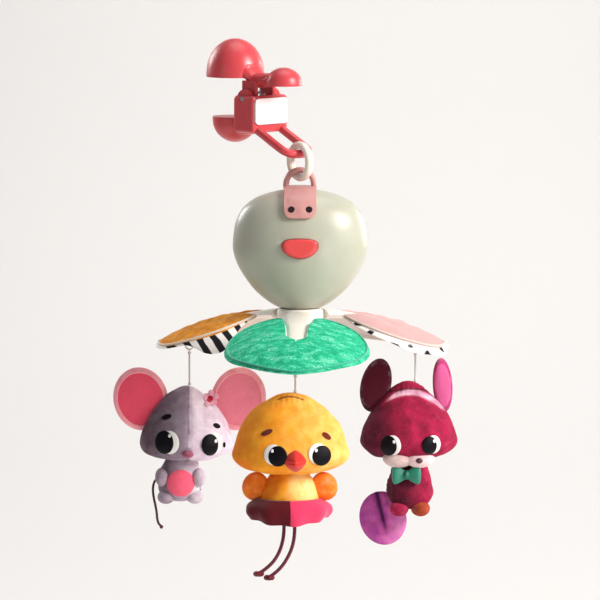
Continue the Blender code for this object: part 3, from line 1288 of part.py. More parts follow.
def arm_form(grow=0.0):
    """An arm's blade from the hub to its end."""
    sections = []
    for out, wide, thick in ARM_SHARES:
        reach = max(ARM_REACH * out, ARM_ROOT)
        if out == 1:
            reach += grow
        half_width = ARM_HALF_WIDTH * wide + grow
        half_thickness = ARM_HALF_THICKNESS * thick + grow
        ring = []
        for side in range(ARM_SECTION_SIDES):
            turn = 2 * math.pi * side / ARM_SECTION_SIDES
            ring.append(Vector((
                reach, half_width * math.cos(turn), arm_rise(reach) + half_thickness * math.sin(turn),
            )))
        sections.append(ring)
    return loft(sections)


def tongue(grow=0.0):
    """The arm's root, pushed into the hub's socket."""
    mid = arm_rise(ARM_ROOT)
    return box(
        (HUB_RADIUS - TONGUE_REACH - grow, -TONGUE_HALF_WIDTH - grow, mid - TONGUE_HALF_THICKNESS - grow),
        (ARM_ROOT + TONGUE_REACH, TONGUE_HALF_WIDTH + grow, mid + TONGUE_HALF_THICKNESS + grow),
    )


def lug(grow=0.0):
    """The plate under the arm's end that the loop hangs in."""
    mid = arm_rise(LUG_AT)
    low = mid - LUG_HOLE_DROP - LUG_HOLE_RADIUS - LUG_RIM
    return box(
        (LUG_AT - LUG_THICKNESS / 2 - grow, -LUG_HALF_WIDTH - grow, low - grow),
        (LUG_AT + LUG_THICKNESS / 2 + grow, LUG_HALF_WIDTH + grow, mid),
    )


def leaf_form():
    """A leaf as a padded shape that follows the arm's droop and falls away to its sides."""
    def point(turn, share, side):
        reach = LEAF_LENGTH * share_at(LEAF_OUTLINE_SHARES, abs(turn) / math.pi) * share
        out = LEAF_MIDDLE + reach * math.cos(turn)
        across = reach * math.sin(turn)
        thick = LEAF_EDGE + (LEAF_THICKNESS - LEAF_EDGE) * (1 - share ** 3)
        mid = arm_rise(out) - LEAF_SIDE_DROP * (across / LEAF_HALF_WIDTH) ** 2
        return Vector((out, across, mid + side * thick / 2))
    turns = [2 * math.pi * index / LEAF_POINTS - math.pi for index in range(LEAF_POINTS)]
    top = [[point(0, 0, 1)]]
    bottom = [[point(0, 0, -1)]]
    for share in LEAF_RING_SHARES:
        top.append([point(turn, share, 1) for turn in turns])
        bottom.append([point(turn, share, -1) for turn in turns])
    return loft(top + bottom[::-1])


def leaf_notch():
    """The gap in the leaf's inner end that shows the arm."""
    outline = []
    ends = []
    for out, wide, _ in ARM_SHARES:
        reach = min(ARM_REACH * out, LEAF_NOTCH_END)
        half_width = ARM_HALF_WIDTH * wide + LEAF_NOTCH_MARGIN
        ends.append((reach, half_width))
        if reach == LEAF_NOTCH_END:
            break
    outline = ends + [(reach, -half_width) for reach, half_width in ends[::-1]]
    return prism(outline, -ARM_DROP - OVERRUN, ARM_HALF_THICKNESS + OVERRUN, "Z")


def make_carrier(hub_frame):
    """The hub with its three arms and leaves; returns the turn of each arm."""
    white = finish("carrier_white", (0.86, 0.83, 0.76), 0.4)
    leaf_looks = (
        finish("leaf_green", (0.05, 0.5, 0.3), 0.85),
        finish("leaf_pink", (0.88, 0.62, 0.6), 0.85),
        finish("leaf_orange", (0.85, 0.45, 0.05), 0.85),
    )
    profile = (
        (HUB_RADIUS - HUB_EDGE, -HUB_FALL), (HUB_RADIUS, HUB_EDGE - HUB_FALL),
        (HUB_RADIUS, HUB_RISE - HUB_EDGE), (HUB_RADIUS - HUB_EDGE, HUB_RISE),
        (SPINDLE_RADIUS + GAP, HUB_RISE), (SPINDLE_RADIUS + GAP, -HUB_FALL),
    )
    hub = turned(profile, closed=True)
    sockets = []
    turns = [ARM_FIRST_TURN + 2 * math.pi * index / ARM_COUNT for index in range(ARM_COUNT)]
    for turn in turns:
        sockets.append(moved(tongue(GAP), Matrix.Rotation(turn, 4, "Z")))
    add("hub", cut(hub, *sockets), white, hub_frame)

    lug_side = Vector((LUG_THICKNESS + OVERRUN, 0, 0))
    hole_spot = Vector((LUG_AT, 0, arm_rise(LUG_AT) - LUG_HOLE_DROP))
    hole = rod(hole_spot - lug_side, hole_spot + lug_side, LUG_HOLE_RADIUS)
    arm = joined(arm_form(), tongue(), cut(lug(), hole))
    leaf = cut(leaf_form(), leaf_notch(), arm_form(GAP), lug(GAP))
    arm_turns = {}
    for name, turn, look in zip(ARM_NAMES, turns, leaf_looks):
        frame = pivot(f"arm_turn_{name}", (0, 0, 0), hub_frame, turn)
        add(f"arm_{name}", arm, white, frame)
        leaf_copy = leaf.copy()
        add(f"leaf_{name}", leaf_copy, look, frame)
        arm_turns[name] = turn
    return arm_turns


def make_hanger(toy, string, turn, hub_frame):
    """The wire loop in the arm's lug and the string under it; returns the pivot at the animal's top."""
    nickel = finish(f"{toy}_loop_nickel", (0.7, 0.68, 0.62), 0.3, 1.0)
    cord = finish(f"{toy}_cord", (0.85, 0.83, 0.78), 0.8)
    top_tube = arm_rise(LUG_AT) - LUG_HOLE_DROP - LUG_HOLE_RADIUS + GAP + LOOP_WIRE_RADIUS
    out = Vector((LUG_AT * math.cos(turn), LUG_AT * math.sin(turn), 0))
    swing = pivot(f"{toy}_loop_swing", out + Vector((0, 0, top_tube)), hub_frame, turn)
    middle = Vector((0, 0, -LOOP_RADIUS))
    route = []
    for index in range(LOOP_POINTS):
        at = 2 * math.pi * index / LOOP_POINTS
        route.append(middle + LOOP_RADIUS * Vector((math.sin(at), 0, math.cos(at))))
    add(f"{toy}_loop", tube(route, LOOP_WIRE_RADIUS, 1, closed=True), nickel, swing)
    tie = pivot(f"{toy}_string_swing", middle, swing)
    top = -LOOP_RADIUS - LOOP_WIRE_RADIUS - GAP
    knot_size = Vector((2, 2, 2)) * KNOT_RADIUS
    upper = ball(knot_size, Vector((0, 0, top - KNOT_RADIUS)), WIRE_SIDES, KNOT_RINGS)
    lower = ball(knot_size, Vector((0, 0, top - string + KNOT_RADIUS)), WIRE_SIDES, KNOT_RINGS)
    ends = Vector((0, 0, top - KNOT_RADIUS)), Vector((0, 0, top - string + KNOT_RADIUS))
    strand = rod(*ends, STRING_RADIUS, WIRE_SIDES)
    add(f"{toy}_string", joined(strand, upper, lower), cord, tie)
    return pivot(f"{toy}_spin", (0, 0, top - string - GAP), tie, -turn)


def make_mouse(hang):
    """The stuffed mouse."""
    lilac = finish("mouse_lilac", (0.42, 0.36, 0.44), 0.85)
    pink = finish("mouse_pink", (0.85, 0.25, 0.32), 0.85)
    pale = finish("mouse_grey", (0.5, 0.45, 0.5), 0.85)
    dark = finish("mouse_tail_cord", (0.12, 0.08, 0.1), 0.8)
    head = form(MOUSE_HEAD, MOUSE_HEAD_TOP, HEAD_SHARES)
    grown = form(MOUSE_HEAD, MOUSE_HEAD_TOP, HEAD_SHARES, grow=GAP)
    add("mouse_head", head, lilac, hang)
    for side, name in ((-1, "left"), (1, "right")):
        place = Vector((side * MOUSE_EAR_PLACE.x, MOUSE_EAR_PLACE.y, MOUSE_EAR_PLACE.z))
        ear = cut(pillow(MOUSE_EAR, place, side * MOUSE_EAR_LEAN), grown)
        add(f"mouse_ear_{name}", ear, pink, hang)
    limbs = []
    for size, spot in ((MOUSE_HAND, MOUSE_HAND_PLACE), (MOUSE_FOOT, MOUSE_FOOT_PLACE)):
        for side in (-1, 1):
            limbs.append(ball(size, Vector((MOUSE_BODY_TOP.x + side * spot.x, spot.y, spot.z))))
    body = joined(form(MOUSE_BODY, MOUSE_BODY_TOP, BODY_SHARES), *limbs)
    add("mouse_body", cut(body, grown), pale, hang)
    root = MOUSE_TAIL_ROUTE[0]
    swing = pivot("mouse_tail_swing", root, hang)
    route = [point - root for point in curve_points(MOUSE_TAIL_ROUTE, CORD_STEP_SHARE * MOUSE_TAIL_RADIUS)]
    add("mouse_tail", tube(route, MOUSE_TAIL_RADIUS, 2), dark, swing)


def on_form(size, shares, spot):
    """The point on a stuffed form's front at a place across and down from its top."""
    share = share_at(shares, 1 + spot.z / size.z)
    inside = max(1 - (spot.x / (share * size.x / 2)) ** 2, 0)
    return Vector((spot.x, -share * size.y / 2 * math.sqrt(inside), spot.z))


def make_chick(hang):
    """The stuffed chick with its felt skirt and long cord legs."""
    yellow = finish("chick_yellow", (0.95, 0.55, 0.06), 0.85)
    orange = finish("chick_orange", (0.9, 0.36, 0.05), 0.85)
    red = finish("chick_red", (0.75, 0.07, 0.05), 0.8)
    felt = finish("chick_felt", (0.72, 0.05, 0.2), 0.9)
    cord = finish("chick_leg_cord", (0.3, 0.03, 0.04), 0.8)
    head = form(CHICK_HEAD, CHICK_HEAD_TOP, HEAD_SHARES)
    grown = form(CHICK_HEAD, CHICK_HEAD_TOP, HEAD_SHARES, grow=GAP)
    add("chick_head", head, yellow, hang)
    beak_spot = Vector((CHICK_BEAK_ACROSS, 0, -CHICK_BEAK_DROP))
    spot = CHICK_HEAD_TOP + on_form(CHICK_HEAD, HEAD_SHARES, beak_spot)
    half = CHICK_BEAK / 2
    rim = [
        spot + Vector((half.x, CHICK_BEAK.y / 2, 0)), spot + Vector((0, CHICK_BEAK.y / 2, half.z)),
        spot + Vector((-half.x, CHICK_BEAK.y / 2, 0)), spot + Vector((0, CHICK_BEAK.y / 2, -half.z)),
    ]
    mid = [
        point.lerp(spot - Vector((0, half.y, 0)), CHICK_BEAK_MIDDLE_SHARE)
        for point in rim
    ]
    beak = loft([[spot + Vector((0, CHICK_BEAK.y, 0))], rim, mid, [spot - Vector((0, CHICK_BEAK.y, 0))]])
    add("chick_beak", cut(beak, grown), red, hang, smooth=False)
    body_grown = form(CHICK_BODY, CHICK_BODY_TOP, BODY_SHARES, grow=GAP)
    add("chick_body", cut(form(CHICK_BODY, CHICK_BODY_TOP, BODY_SHARES), grown), yellow, hang)

    def skirt_rings(inset):
        rings = []
        for down, wide, deep, fold in CHICK_SKIRT_SHARES:
            ring = []
            for side in range(CHICK_SKIRT_SIDES):
                turn = 2 * math.pi * side / CHICK_SKIRT_SIDES
                ripple = 1 + CHICK_SKIRT_FOLD_SHARE * fold * math.cos(CHICK_SKIRT_FOLDS * turn)
                ring.append(CHICK_SKIRT_TOP + Vector((
                    (CHICK_SKIRT_HALF_WIDTH * wide * ripple - inset) * math.cos(turn),
                    (CHICK_SKIRT_HALF_DEPTH * deep * ripple - inset) * math.sin(turn),
                    -CHICK_SKIRT_HEIGHT * down,
                )))
            rings.append(ring)
        return rings
    skirt = loft(skirt_rings(0) + skirt_rings(CHICK_SKIRT_WALL)[::-1], closed=True)
    add("chick_skirt", cut(skirt, body_grown), felt, hang)
    skirt_grown = loft(skirt_rings(-GAP))
    skirt_grown = shifted(skirt_grown, Vector((0, 0, GAP)))
    for side, name in ((-1, "left"), (1, "right")):
        place = Vector((CHICK_BODY_TOP.x + side * CHICK_WING_PLACE.x, CHICK_WING_PLACE.y, CHICK_WING_PLACE.z))
        wing = pillow(CHICK_WING, place, -side * CHICK_WING_LEAN)
        add(f"chick_wing_{name}", cut(wing, grown, body_grown, skirt_grown), orange, hang)
    routes = (("left", CHICK_LEFT_LEG_ROUTE), ("right", CHICK_RIGHT_LEG_ROUTE))
    for name, route in routes:
        root = route[0]
        swing = pivot(f"chick_leg_{name}_swing", root, hang)
        points = [point - root for point in curve_points(route, CORD_STEP_SHARE * CHICK_LEG_RADIUS)]
        leg = tube(points, CHICK_LEG_RADIUS, 2)
        foot = ball(CHICK_FOOT, points[-1])
        add(f"chick_leg_{name}", joined(leg, foot), cord, swing)


def make_bunny(hang):
    """The stuffed bunny with its bow and petal tail."""
    crimson = finish("bunny_crimson", (0.5, 0.02, 0.12), 0.85)
    maroon = finish("bunny_maroon", (0.22, 0.01, 0.05), 0.85)
    magenta = finish("bunny_magenta", (0.6, 0.08, 0.3), 0.85)
    green = finish("bunny_green", (0.1, 0.42, 0.28), 0.8)
    purple = finish("bunny_purple", (0.55, 0.15, 0.4), 0.85)
    muzzle_spot = on_form(BUNNY_HEAD, HEAD_SHARES, Vector((BUNNY_MUZZLE_SHIFT, 0, -BUNNY_MUZZLE_DROP)))
    muzzle_spot += BUNNY_HEAD_TOP + Vector((0, BUNNY_MUZZLE.y * BUNNY_MUZZLE_SUNK_SHARE, 0))
    muzzle = ball(BUNNY_MUZZLE, muzzle_spot, FORM_SIDES)
    muzzle_grown = ball(BUNNY_MUZZLE, muzzle_spot, FORM_SIDES, grow=GAP)
    grown = form(BUNNY_HEAD, BUNNY_HEAD_TOP, HEAD_SHARES, grow=GAP)
    add("bunny_head", joined(form(BUNNY_HEAD, BUNNY_HEAD_TOP, HEAD_SHARES), muzzle), crimson, hang)
    left = pillow(BUNNY_LEFT_EAR, BUNNY_LEFT_EAR_PLACE, BUNNY_LEFT_EAR_LEAN)
    right = pillow(BUNNY_RIGHT_EAR, BUNNY_RIGHT_EAR_PLACE, BUNNY_RIGHT_EAR_LEAN)
    add("bunny_ear_left", cut(left, grown), maroon, hang)
    add("bunny_ear_right", cut(right, grown), magenta, hang)
    body = form(BUNNY_BODY, BUNNY_BODY_TOP, BODY_SHARES)
    body_grown = form(BUNNY_BODY, BUNNY_BODY_TOP, BODY_SHARES, grow=GAP)
    feet = []
    feet_grown = []
    for side in (-1, 1):
        place = Vector((BUNNY_BODY_TOP.x + side * BUNNY_FOOT_PLACE.x, BUNNY_FOOT_PLACE.y, BUNNY_FOOT_PLACE.z))
        feet.append(ball(BUNNY_FOOT, place))
        feet_grown.append(ball(BUNNY_FOOT, place, grow=GAP))
    add("bunny_body", cut(joined(body, *feet), grown, muzzle_grown), crimson, hang)
    rings = []
    for at, tall in BUNNY_BOW_SHARES:
        ring = []
        for side in range(SMALL_SIDES):
            turn = 2 * math.pi * side / SMALL_SIDES
            ring.append(BUNNY_BOW_PLACE + Vector((
                at * BUNNY_BOW.x / 2, tall * BUNNY_BOW.y / 2 * math.cos(turn),
                tall * BUNNY_BOW.z / 2 * math.sin(turn),
            )))
        rings.append(ring)
    add("bunny_bow", cut(loft(rings), grown, muzzle_grown, body_grown), green, hang)
    tail = pillow(BUNNY_TAIL, BUNNY_TAIL_PLACE, BUNNY_TAIL_LEAN)
    add("bunny_tail", cut(tail, body_grown, *feet_grown), purple, hang)


def build():
    """Make the whole mobile."""
    clear_scene()
    clip = pivot("clip_turn", (0, 0, 0), None, CLIP_TURN)
    hinge = pivot("clip_jaw", HINGE, clip)
    make_clip(clip, hinge)
    ring_swing = pivot("ring_swing", HANG_AXIS + Vector((0, 0, LOOP_BAR_Z)))
    make_ring(ring_swing)
    box_swing = pivot("music_box_swing", (0, 0, RING_LOW_Z - LOOP_BAR_Z), ring_swing)
    box_frame = pivot("box_frame", (0, 0, BOX_BOTTOM_Z - RING_LOW_Z), box_swing)
    tab_cutters = make_tab(box_frame)
    screw_tip, door_seat = make_shells(box_frame, tab_cutters)
    make_inside(box_frame, screw_tip, door_seat)
    make_spindle(box_frame)
    hub_frame = pivot("hub_spin", (0, 0, -HUB_DROP), box_frame)
    arm_turns = make_carrier(hub_frame)
    make_chick(make_hanger("chick", CHICK_STRING, arm_turns["front"], hub_frame))
    make_bunny(make_hanger("bunny", BUNNY_STRING, arm_turns["right"], hub_frame))
    make_mouse(make_hanger("mouse", MOUSE_STRING, arm_turns["left"], hub_frame))


build()
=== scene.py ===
import json
import math

import bmesh
import bpy
import numpy as np
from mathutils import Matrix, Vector

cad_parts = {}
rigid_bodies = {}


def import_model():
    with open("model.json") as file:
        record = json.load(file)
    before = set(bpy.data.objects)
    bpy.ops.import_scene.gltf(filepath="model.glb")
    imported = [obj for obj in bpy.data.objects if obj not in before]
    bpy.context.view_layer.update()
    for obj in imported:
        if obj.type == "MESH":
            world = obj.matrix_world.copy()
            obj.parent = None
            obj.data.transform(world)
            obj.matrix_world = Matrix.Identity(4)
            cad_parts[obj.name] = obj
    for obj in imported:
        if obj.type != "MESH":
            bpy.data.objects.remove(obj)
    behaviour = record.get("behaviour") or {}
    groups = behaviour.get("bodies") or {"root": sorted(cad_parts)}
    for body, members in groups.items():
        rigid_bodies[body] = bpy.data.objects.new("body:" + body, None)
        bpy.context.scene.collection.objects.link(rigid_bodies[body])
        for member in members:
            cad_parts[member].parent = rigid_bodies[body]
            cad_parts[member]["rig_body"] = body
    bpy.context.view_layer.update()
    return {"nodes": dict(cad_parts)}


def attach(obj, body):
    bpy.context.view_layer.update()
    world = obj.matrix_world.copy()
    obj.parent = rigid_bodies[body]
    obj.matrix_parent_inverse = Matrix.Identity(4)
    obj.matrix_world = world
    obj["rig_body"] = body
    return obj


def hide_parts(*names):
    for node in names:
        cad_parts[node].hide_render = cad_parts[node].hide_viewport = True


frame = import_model()
scene = bpy.context.scene

MM = 0.001
FULL_TURN = 2 * math.pi


def mm(*values):
    """A place or size in millimetres, as an array in metres."""
    return np.array(values) * MM


def placed(name, data):
    """A new object in the scene."""
    made = bpy.data.objects.new(name, data)
    scene.collection.objects.link(made)
    return made


HANG = mm(42.426, -42.426, 0.0)
HUB_Z = -125.7 * MM
MOUSE_TOP = mm(-30.506, 3.147, -178.685)
BUNNY_TOP = mm(118.36, -2.051, -175.685)
CHICK_TOP = mm(39.425, -128.374, -167.685)
ARM_TURNS = {"front": -92.0, "right": 28.0, "left": 148.0}

MOUSE_TAIL = (
    (-20.9, 5, -62.2), (-23, 5.8, -63.8), (-24.2, 6.1, -67), (-24.4, 5.8, -71), (-23.8, 5, -75.5),
    (-22.8, 4.2, -80), (-22, 3.6, -84.5), (-21.6, 3, -88.5), (-20.8, 2.5, -91.5), (-18.8, 2, -94),
)
CHICK_LEGS = {
    "left": (
        (-7.2, 0, -80.9), (-7.2, 0, -84.2), (-7.3, 0, -88.4), (-7.7, -0.2, -92.2), (-8.5, -0.5, -96.1),
        (-9.8, -0.9, -100.1), (-11.7, -1.3, -104), (-14.2, -1.7, -107.6), (-17.2, -2, -110.6),
        (-20.4, -2.2, -113.1), (-23.3, -2.3, -114.9),
    ),
    "right": (
        (-0.4, 0, -80.9), (-0.4, 0, -84.2), (-0.5, -0.1, -88.9), (-0.9, -0.3, -93), (-1.7, -0.7, -97),
        (-3.1, -1.2, -101), (-5, -1.7, -104.9), (-7.5, -2.2, -108.9), (-10.5, -2.6, -112.4),
        (-13.7, -2.9, -115.2), (-16.6, -3, -117.2),
    ),
}


# Shaders

def node(tree, kind, sockets=None, **settings):
    """A shader node with its settings, and its sockets set or linked, by name or number."""
    made = tree.nodes.new(f"ShaderNode{kind}")
    for key, value in settings.items():
        setattr(made, key, value)
    for name, value in (sockets or {}).items():
        target = made.inputs[name]
        if isinstance(value, bpy.types.NodeSocket):
            tree.links.new(value, target)
        else:
            target.default_value = value
    return made


def mixed(tree, factor, low, high, blend="MIX"):
    """A colour between two, by a factor."""
    sockets = {0: factor, 6: low, 7: high}
    return node(tree, "Mix", sockets, data_type="RGBA", blend_type=blend).outputs[2]


def tinted(tree, colour, tint):
    """A colour multiplied by another."""
    return mixed(tree, 1.0, colour, tint, "MULTIPLY")


def ranged(tree, value, low, high, to_low=0.0, to_high=1.0):
    """A value carried from one range to another."""
    return node(tree, "MapRange", {
        "Value": value, "From Min": low, "From Max": high, "To Min": to_low, "To Max": to_high}).outputs[0]


def maths(tree, operation, first, second=0.0):
    """A number worked out from one or two others."""
    return node(tree, "Math", {0: first, 1: second}, operation=operation).outputs[0]


def plus(tree, first, second):
    """The sum of two numbers."""
    return maths(tree, "ADD", first, second)


def times(tree, first, second):
    """The product of two numbers."""
    return maths(tree, "MULTIPLY", first, second)


def noise(tree, place, scale, detail, rough=0.5):
    """A cloudy pattern of a given fineness, per metre."""
    return node(tree, "TexNoise", {
        "Vector": place, "Scale": scale, "Detail": detail, "Roughness": rough}).outputs["Fac"]


def mapped(tree, place, scale, turn=0.0):
    """A place stretched, and turned about the upright."""
    return node(tree, "Mapping", {"Vector": place, "Rotation": (0, 0, turn), "Scale": scale}).outputs[0]


def spread_of(tree, name):
    """A number that the mesh carries at each point."""
    return node(tree, "Attribute", attribute_name=name).outputs["Fac"]


def bumped(tree, height, strength, distance, normal=None):
    """A bump from a height."""
    sockets = {"Height": height, "Strength": strength, "Distance": distance}
    if normal is not None:
        sockets["Normal"] = normal
    return node(tree, "Bump", sockets).outputs[0]


def surface(tree, colour, rough, normal, **more):
    """A Principled surface; the names of its other sockets are given with underscores."""
    sockets = {"Base Color": colour, "Roughness": rough, "Normal": normal}
    sockets.update((key.replace("_", " "), value) for key, value in more.items())
    return node(tree, "BsdfPrincipled", sockets).outputs[0]


def group(name, inputs, make):
    """A shader group: its inputs with their values, and a function that fills it."""
    tree = bpy.data.node_groups.new(name, "ShaderNodeTree")
    for label, value in inputs.items():
        kind = "Float" if isinstance(value, float) else "Color"
        made = tree.interface.new_socket(label, in_out="INPUT", socket_type=f"NodeSocket{kind}")
        made.default_value = value
    tree.interface.new_socket("Shader", in_out="OUTPUT", socket_type="NodeSocketShader")
    start = tree.nodes.new("NodeGroupInput")
    end = tree.nodes.new("NodeGroupOutput")
    place = node(tree, "TexCoord").outputs["Object"]
    tree.links.new(make(tree, start.outputs, place), end.inputs["Shader"])
    return tree


def moulded(tree, given, place):
    """Moulded plastic: faint grain, uneven gloss and rounded edges."""
    grain = noise(tree, place, given["Grain"], 3)
    cloud = noise(tree, place, 45, 3)
    soft = node(tree, "Bevel", {"Radius": 0.45 * MM}, samples=4).outputs[0]
    deeper = tinted(tree, given["Colour"], (0.93, 0.9, 0.88, 1))
    colour = mixed(tree, ranged(tree, cloud, 0.35, 0.7), given["Colour"], deeper)
    rough = plus(tree, given["Roughness"], ranged(tree, cloud, 0.3, 0.7, -0.05, 0.06))
    return surface(tree, colour, rough, bumped(tree, grain, given["Bump"], 0.1 * MM, soft), IOR=1.5,
                   Subsurface_Weight=given["Depth"], Subsurface_Radius=(1, 0.6, 0.45), Subsurface_Scale=2 * MM)


def metallic(tree, given, place):
    """Drawn or turned metal with fine marks."""
    marks = noise(tree, mapped(tree, place, (1, 1, 6)), 2200, 4, 0.7)
    rough = ranged(tree, marks, 0.3, 0.7, 0.2, 0.42)
    return surface(tree, given["Colour"], rough, bumped(tree, marks, 0.15, 0.05 * MM), Metallic=1.0)


def plush(tree, given, place):
    """Short-pile velour: brushed nap, patches where it lies another way, dark stitched seams; painted light and shade
    from the mesh's points, with a little random tone, and painted glints on the fibre tips.
    """
    warp = noise(tree, place, 190, 2)
    shift = node(tree, "CombineXYZ", {"X": times(tree, warp, 2.5 * MM)}).outputs[0]
    moved_place = node(tree, "VectorMath", {0: place, 1: shift}, operation="ADD").outputs[0]
    nap = noise(tree, moved_place, 120, 3, 0.55)
    pile = noise(tree, moved_place, given["Pile"], 2, 0.7)
    fibre = noise(tree, place, 5200, 1)
    # painted light and shade carried by the mesh, plus a little random tone
    painted_light_and_tone = plus(tree, spread_of(tree, "painted_light_and_tone"), ranged(tree, warp, 0.3, 0.7, -0.12, 0.12))
    # Deep is the colour of the painted shade, Light the colour of the painted light
    deep = tinted(tree, given["Colour"], given["Deep"])
    base = mixed(tree, ranged(tree, painted_light_and_tone, 0, -1), given["Colour"], deep)
    base = mixed(tree, ranged(tree, painted_light_and_tone, 0, 1), base, given["Light"])
    dark = tinted(tree, base, given["Shade"])
    colour = mixed(tree, ranged(tree, nap, 0.35, 0.65), dark, base)
    colour = mixed(tree, ranged(tree, pile, 0.3, 0.72, 0, 0.55), colour, dark)
    # painted glints on the fibre tips
    lit = mixed(tree, 0.35, base, WHITE)
    colour = mixed(tree, ranged(tree, fibre, 0.55, 0.8, 0, 0.25), colour, lit)
    thread = ranged(tree, spread_of(tree, "seam"), 0.2, 0.9, 0, 0.75)
    colour = mixed(tree, thread, colour, (0.02, 0.01, 0.012, 1))
    height = plus(tree, pile, times(tree, fibre, 0.5))
    return surface(tree, colour, 0.9, bumped(tree, height, given["Bump"], 0.5 * MM), Specular_IOR_Level=0.18,
                   Sheen_Weight=given["Sheen"], Sheen_Roughness=0.4, Sheen_Tint=base)


def felt(tree, given, place):
    """Pressed felt: matted fibres, slightly darker where they lie lower."""
    fine = noise(tree, mapped(tree, place, (1, 1, 3.5)), 1500, 3, 0.7)
    cross = noise(tree, mapped(tree, place, (3.5, 1, 1)), 1300, 3, 0.7)
    mat = times(tree, plus(tree, fine, cross), 0.5)
    dark = tinted(tree, given["Colour"], (0.72, 0.68, 0.7, 1))
    colour = mixed(tree, ranged(tree, mat, 0.38, 0.62), dark, given["Colour"])
    return surface(tree, colour, 0.93, bumped(tree, mat, 0.6, 0.35 * MM), Specular_IOR_Level=0.15, Sheen_Weight=0.25)


def terry(tree, given, place):
    """Looped towelling: fuzzy loops, lighter where the pile is brushed up."""
    warp = noise(tree, mapped(tree, place, (0.75, 1.25, 1), 0.5), 175, 4, 0.62)
    cells = node(tree, "TexVoronoi", {"Vector": place, "Scale": given["Loops"], "Randomness": 1.0})
    fuzz = times(tree, noise(tree, place, 2600, 2, 0.7), 0.45)
    loops = plus(tree, maths(tree, "SUBTRACT", 1.0, cells.outputs["Distance"]), fuzz)
    deep = tinted(tree, given["Colour"], (0.25, 0.5, 0.42, 1))
    pale = mixed(tree, 0.32, given["Colour"], (0.7, 1, 0.85, 1))
    colour = mixed(tree, ranged(tree, warp, 0.56, 0.36), given["Colour"], deep)
    colour = mixed(tree, ranged(tree, warp, 0.52, 0.68), colour, pale)
    # painted shade in the gaps between the loops
    colour = mixed(tree, ranged(tree, loops, 0.95, 0.5, 0, 0.7), colour, deep)
    return surface(tree, colour, 0.95, bumped(tree, loops, 0.55, 0.6 * MM), Specular_IOR_Level=0.1,
                   Sheen_Weight=0.3, Sheen_Tint=given["Colour"])


def printed(tree, given, place):
    """Woven cotton printed in black on white: stripes, or spots."""
    uv = node(tree, "UVMap", uv_map="cut").outputs[0]
    split = node(tree, "SeparateXYZ", {"Vector": uv}).outputs
    run = plus(tree, times(tree, split[0], 0.8), times(tree, split[1], 0.6))
    run = plus(tree, run, times(tree, noise(tree, uv, 55, 2), 5 * MM))
    stripe = ranged(tree, maths(tree, "SINE", times(tree, run, FULL_TURN / (9 * MM))), -0.12, 0.12)
    spot_cells = node(tree, "TexVoronoi", {"Vector": uv, "Scale": 72.0, "Randomness": 0.35})
    ragged = plus(tree, spot_cells.outputs["Distance"], times(tree, noise(tree, uv, 240, 2), 0.25))
    spot = times(tree, ranged(tree, ragged, 0.45, 0.4), given["Spots"])
    ink = plus(tree, times(tree, stripe, maths(tree, "SUBTRACT", 1.0, given["Spots"])), spot)
    threads = [
        node(tree, "TexWave", {"Vector": uv, "Scale": 480.0, "Distortion": 0.4}, bands_direction=way)
        for way in "XY"]
    weave = maths(tree, "MAXIMUM", *(each.outputs["Fac"] for each in threads))
    colour = mixed(tree, ink, (0.86, 0.83, 0.8, 1), (0.012, 0.011, 0.014, 1))
    return surface(tree, colour, 0.85, bumped(tree, weave, 0.35, 0.12 * MM), Specular_IOR_Level=0.2)


def twisted(tree, given, place):
    """Twisted cord: slanting strands round the cord's own length."""
    uv = node(tree, "UVMap", uv_map="cut").outputs[0]
    split = node(tree, "SeparateXYZ", {"Vector": uv}).outputs
    run = plus(tree, times(tree, split[0], FULL_TURN * 3), times(tree, split[1], FULL_TURN / (2.4 * MM)))
    strand = ranged(tree, maths(tree, "SINE", run), -1, 1)
    # painted shade in the grooves between the strands
    colour = mixed(tree, strand, tinted(tree, given["Colour"], (0.45, 0.42, 0.45, 1)), given["Colour"])
    return surface(tree, colour, 0.8, bumped(tree, strand, 0.7, 0.25 * MM), Specular_IOR_Level=0.25, Sheen_Weight=0.2)


def satin(tree, given, place):
    """Satin stitch: close parallel threads with a soft gloss."""
    split = node(tree, "SeparateXYZ", {"Vector": place}).outputs
    wobble = times(tree, noise(tree, place, 800, 1), 0.3 * MM)
    thread = maths(tree, "SINE", times(tree, plus(tree, split[2], wobble), FULL_TURN / (0.45 * MM)))
    height = ranged(tree, thread, -1, 1)
    # painted shade between the threads
    colour = mixed(tree, height, tinted(tree, given["Colour"], (0.75, 0.75, 0.75, 1)), given["Colour"])
    return surface(tree, colour, given["Roughness"], bumped(tree, height, 0.3, 0.1 * MM),
                   Coat_Weight=given["Gloss"], Coat_Roughness=0.08, Specular_IOR_Level=given["Shine"])


WHITE = (1, 1, 1, 1)
GROUPS = {
    "moulded": group("Moulded", {
        "Colour": WHITE, "Roughness": 0.35, "Grain": 1800.0, "Bump": 0.12, "Depth": 0.08}, moulded),
    "metal": group("Metal", {"Colour": WHITE}, metallic),
    # Plush: Deep and Light are the colours of painted shade and painted light
    "plush": group("Plush", {
        "Colour": WHITE, "Shade": (0.6, 0.5, 0.55, 1), "Deep": (0.3, 0.25, 0.28, 1), "Light": WHITE,
        "Pile": 1400.0, "Sheen": 0.35, "Bump": 0.55}, plush),
    "felt": group("Felt", {"Colour": WHITE}, felt),
    "terry": group("Terry", {"Colour": WHITE, "Loops": 760.0}, terry),
    "printed": group("Printed", {"Spots": 0.0}, printed),
    "twisted": group("Twisted", {"Colour": WHITE}, twisted),
    "satin": group("Satin", {"Colour": WHITE, "Roughness": 0.4, "Gloss": 0.0, "Shine": 0.5}, satin),
}


def blank(name):
    """A new material without nodes, and its tree."""
    made = bpy.data.materials.new(name)
    made.use_nodes = True
    made.node_tree.nodes.clear()
    return made, made.node_tree


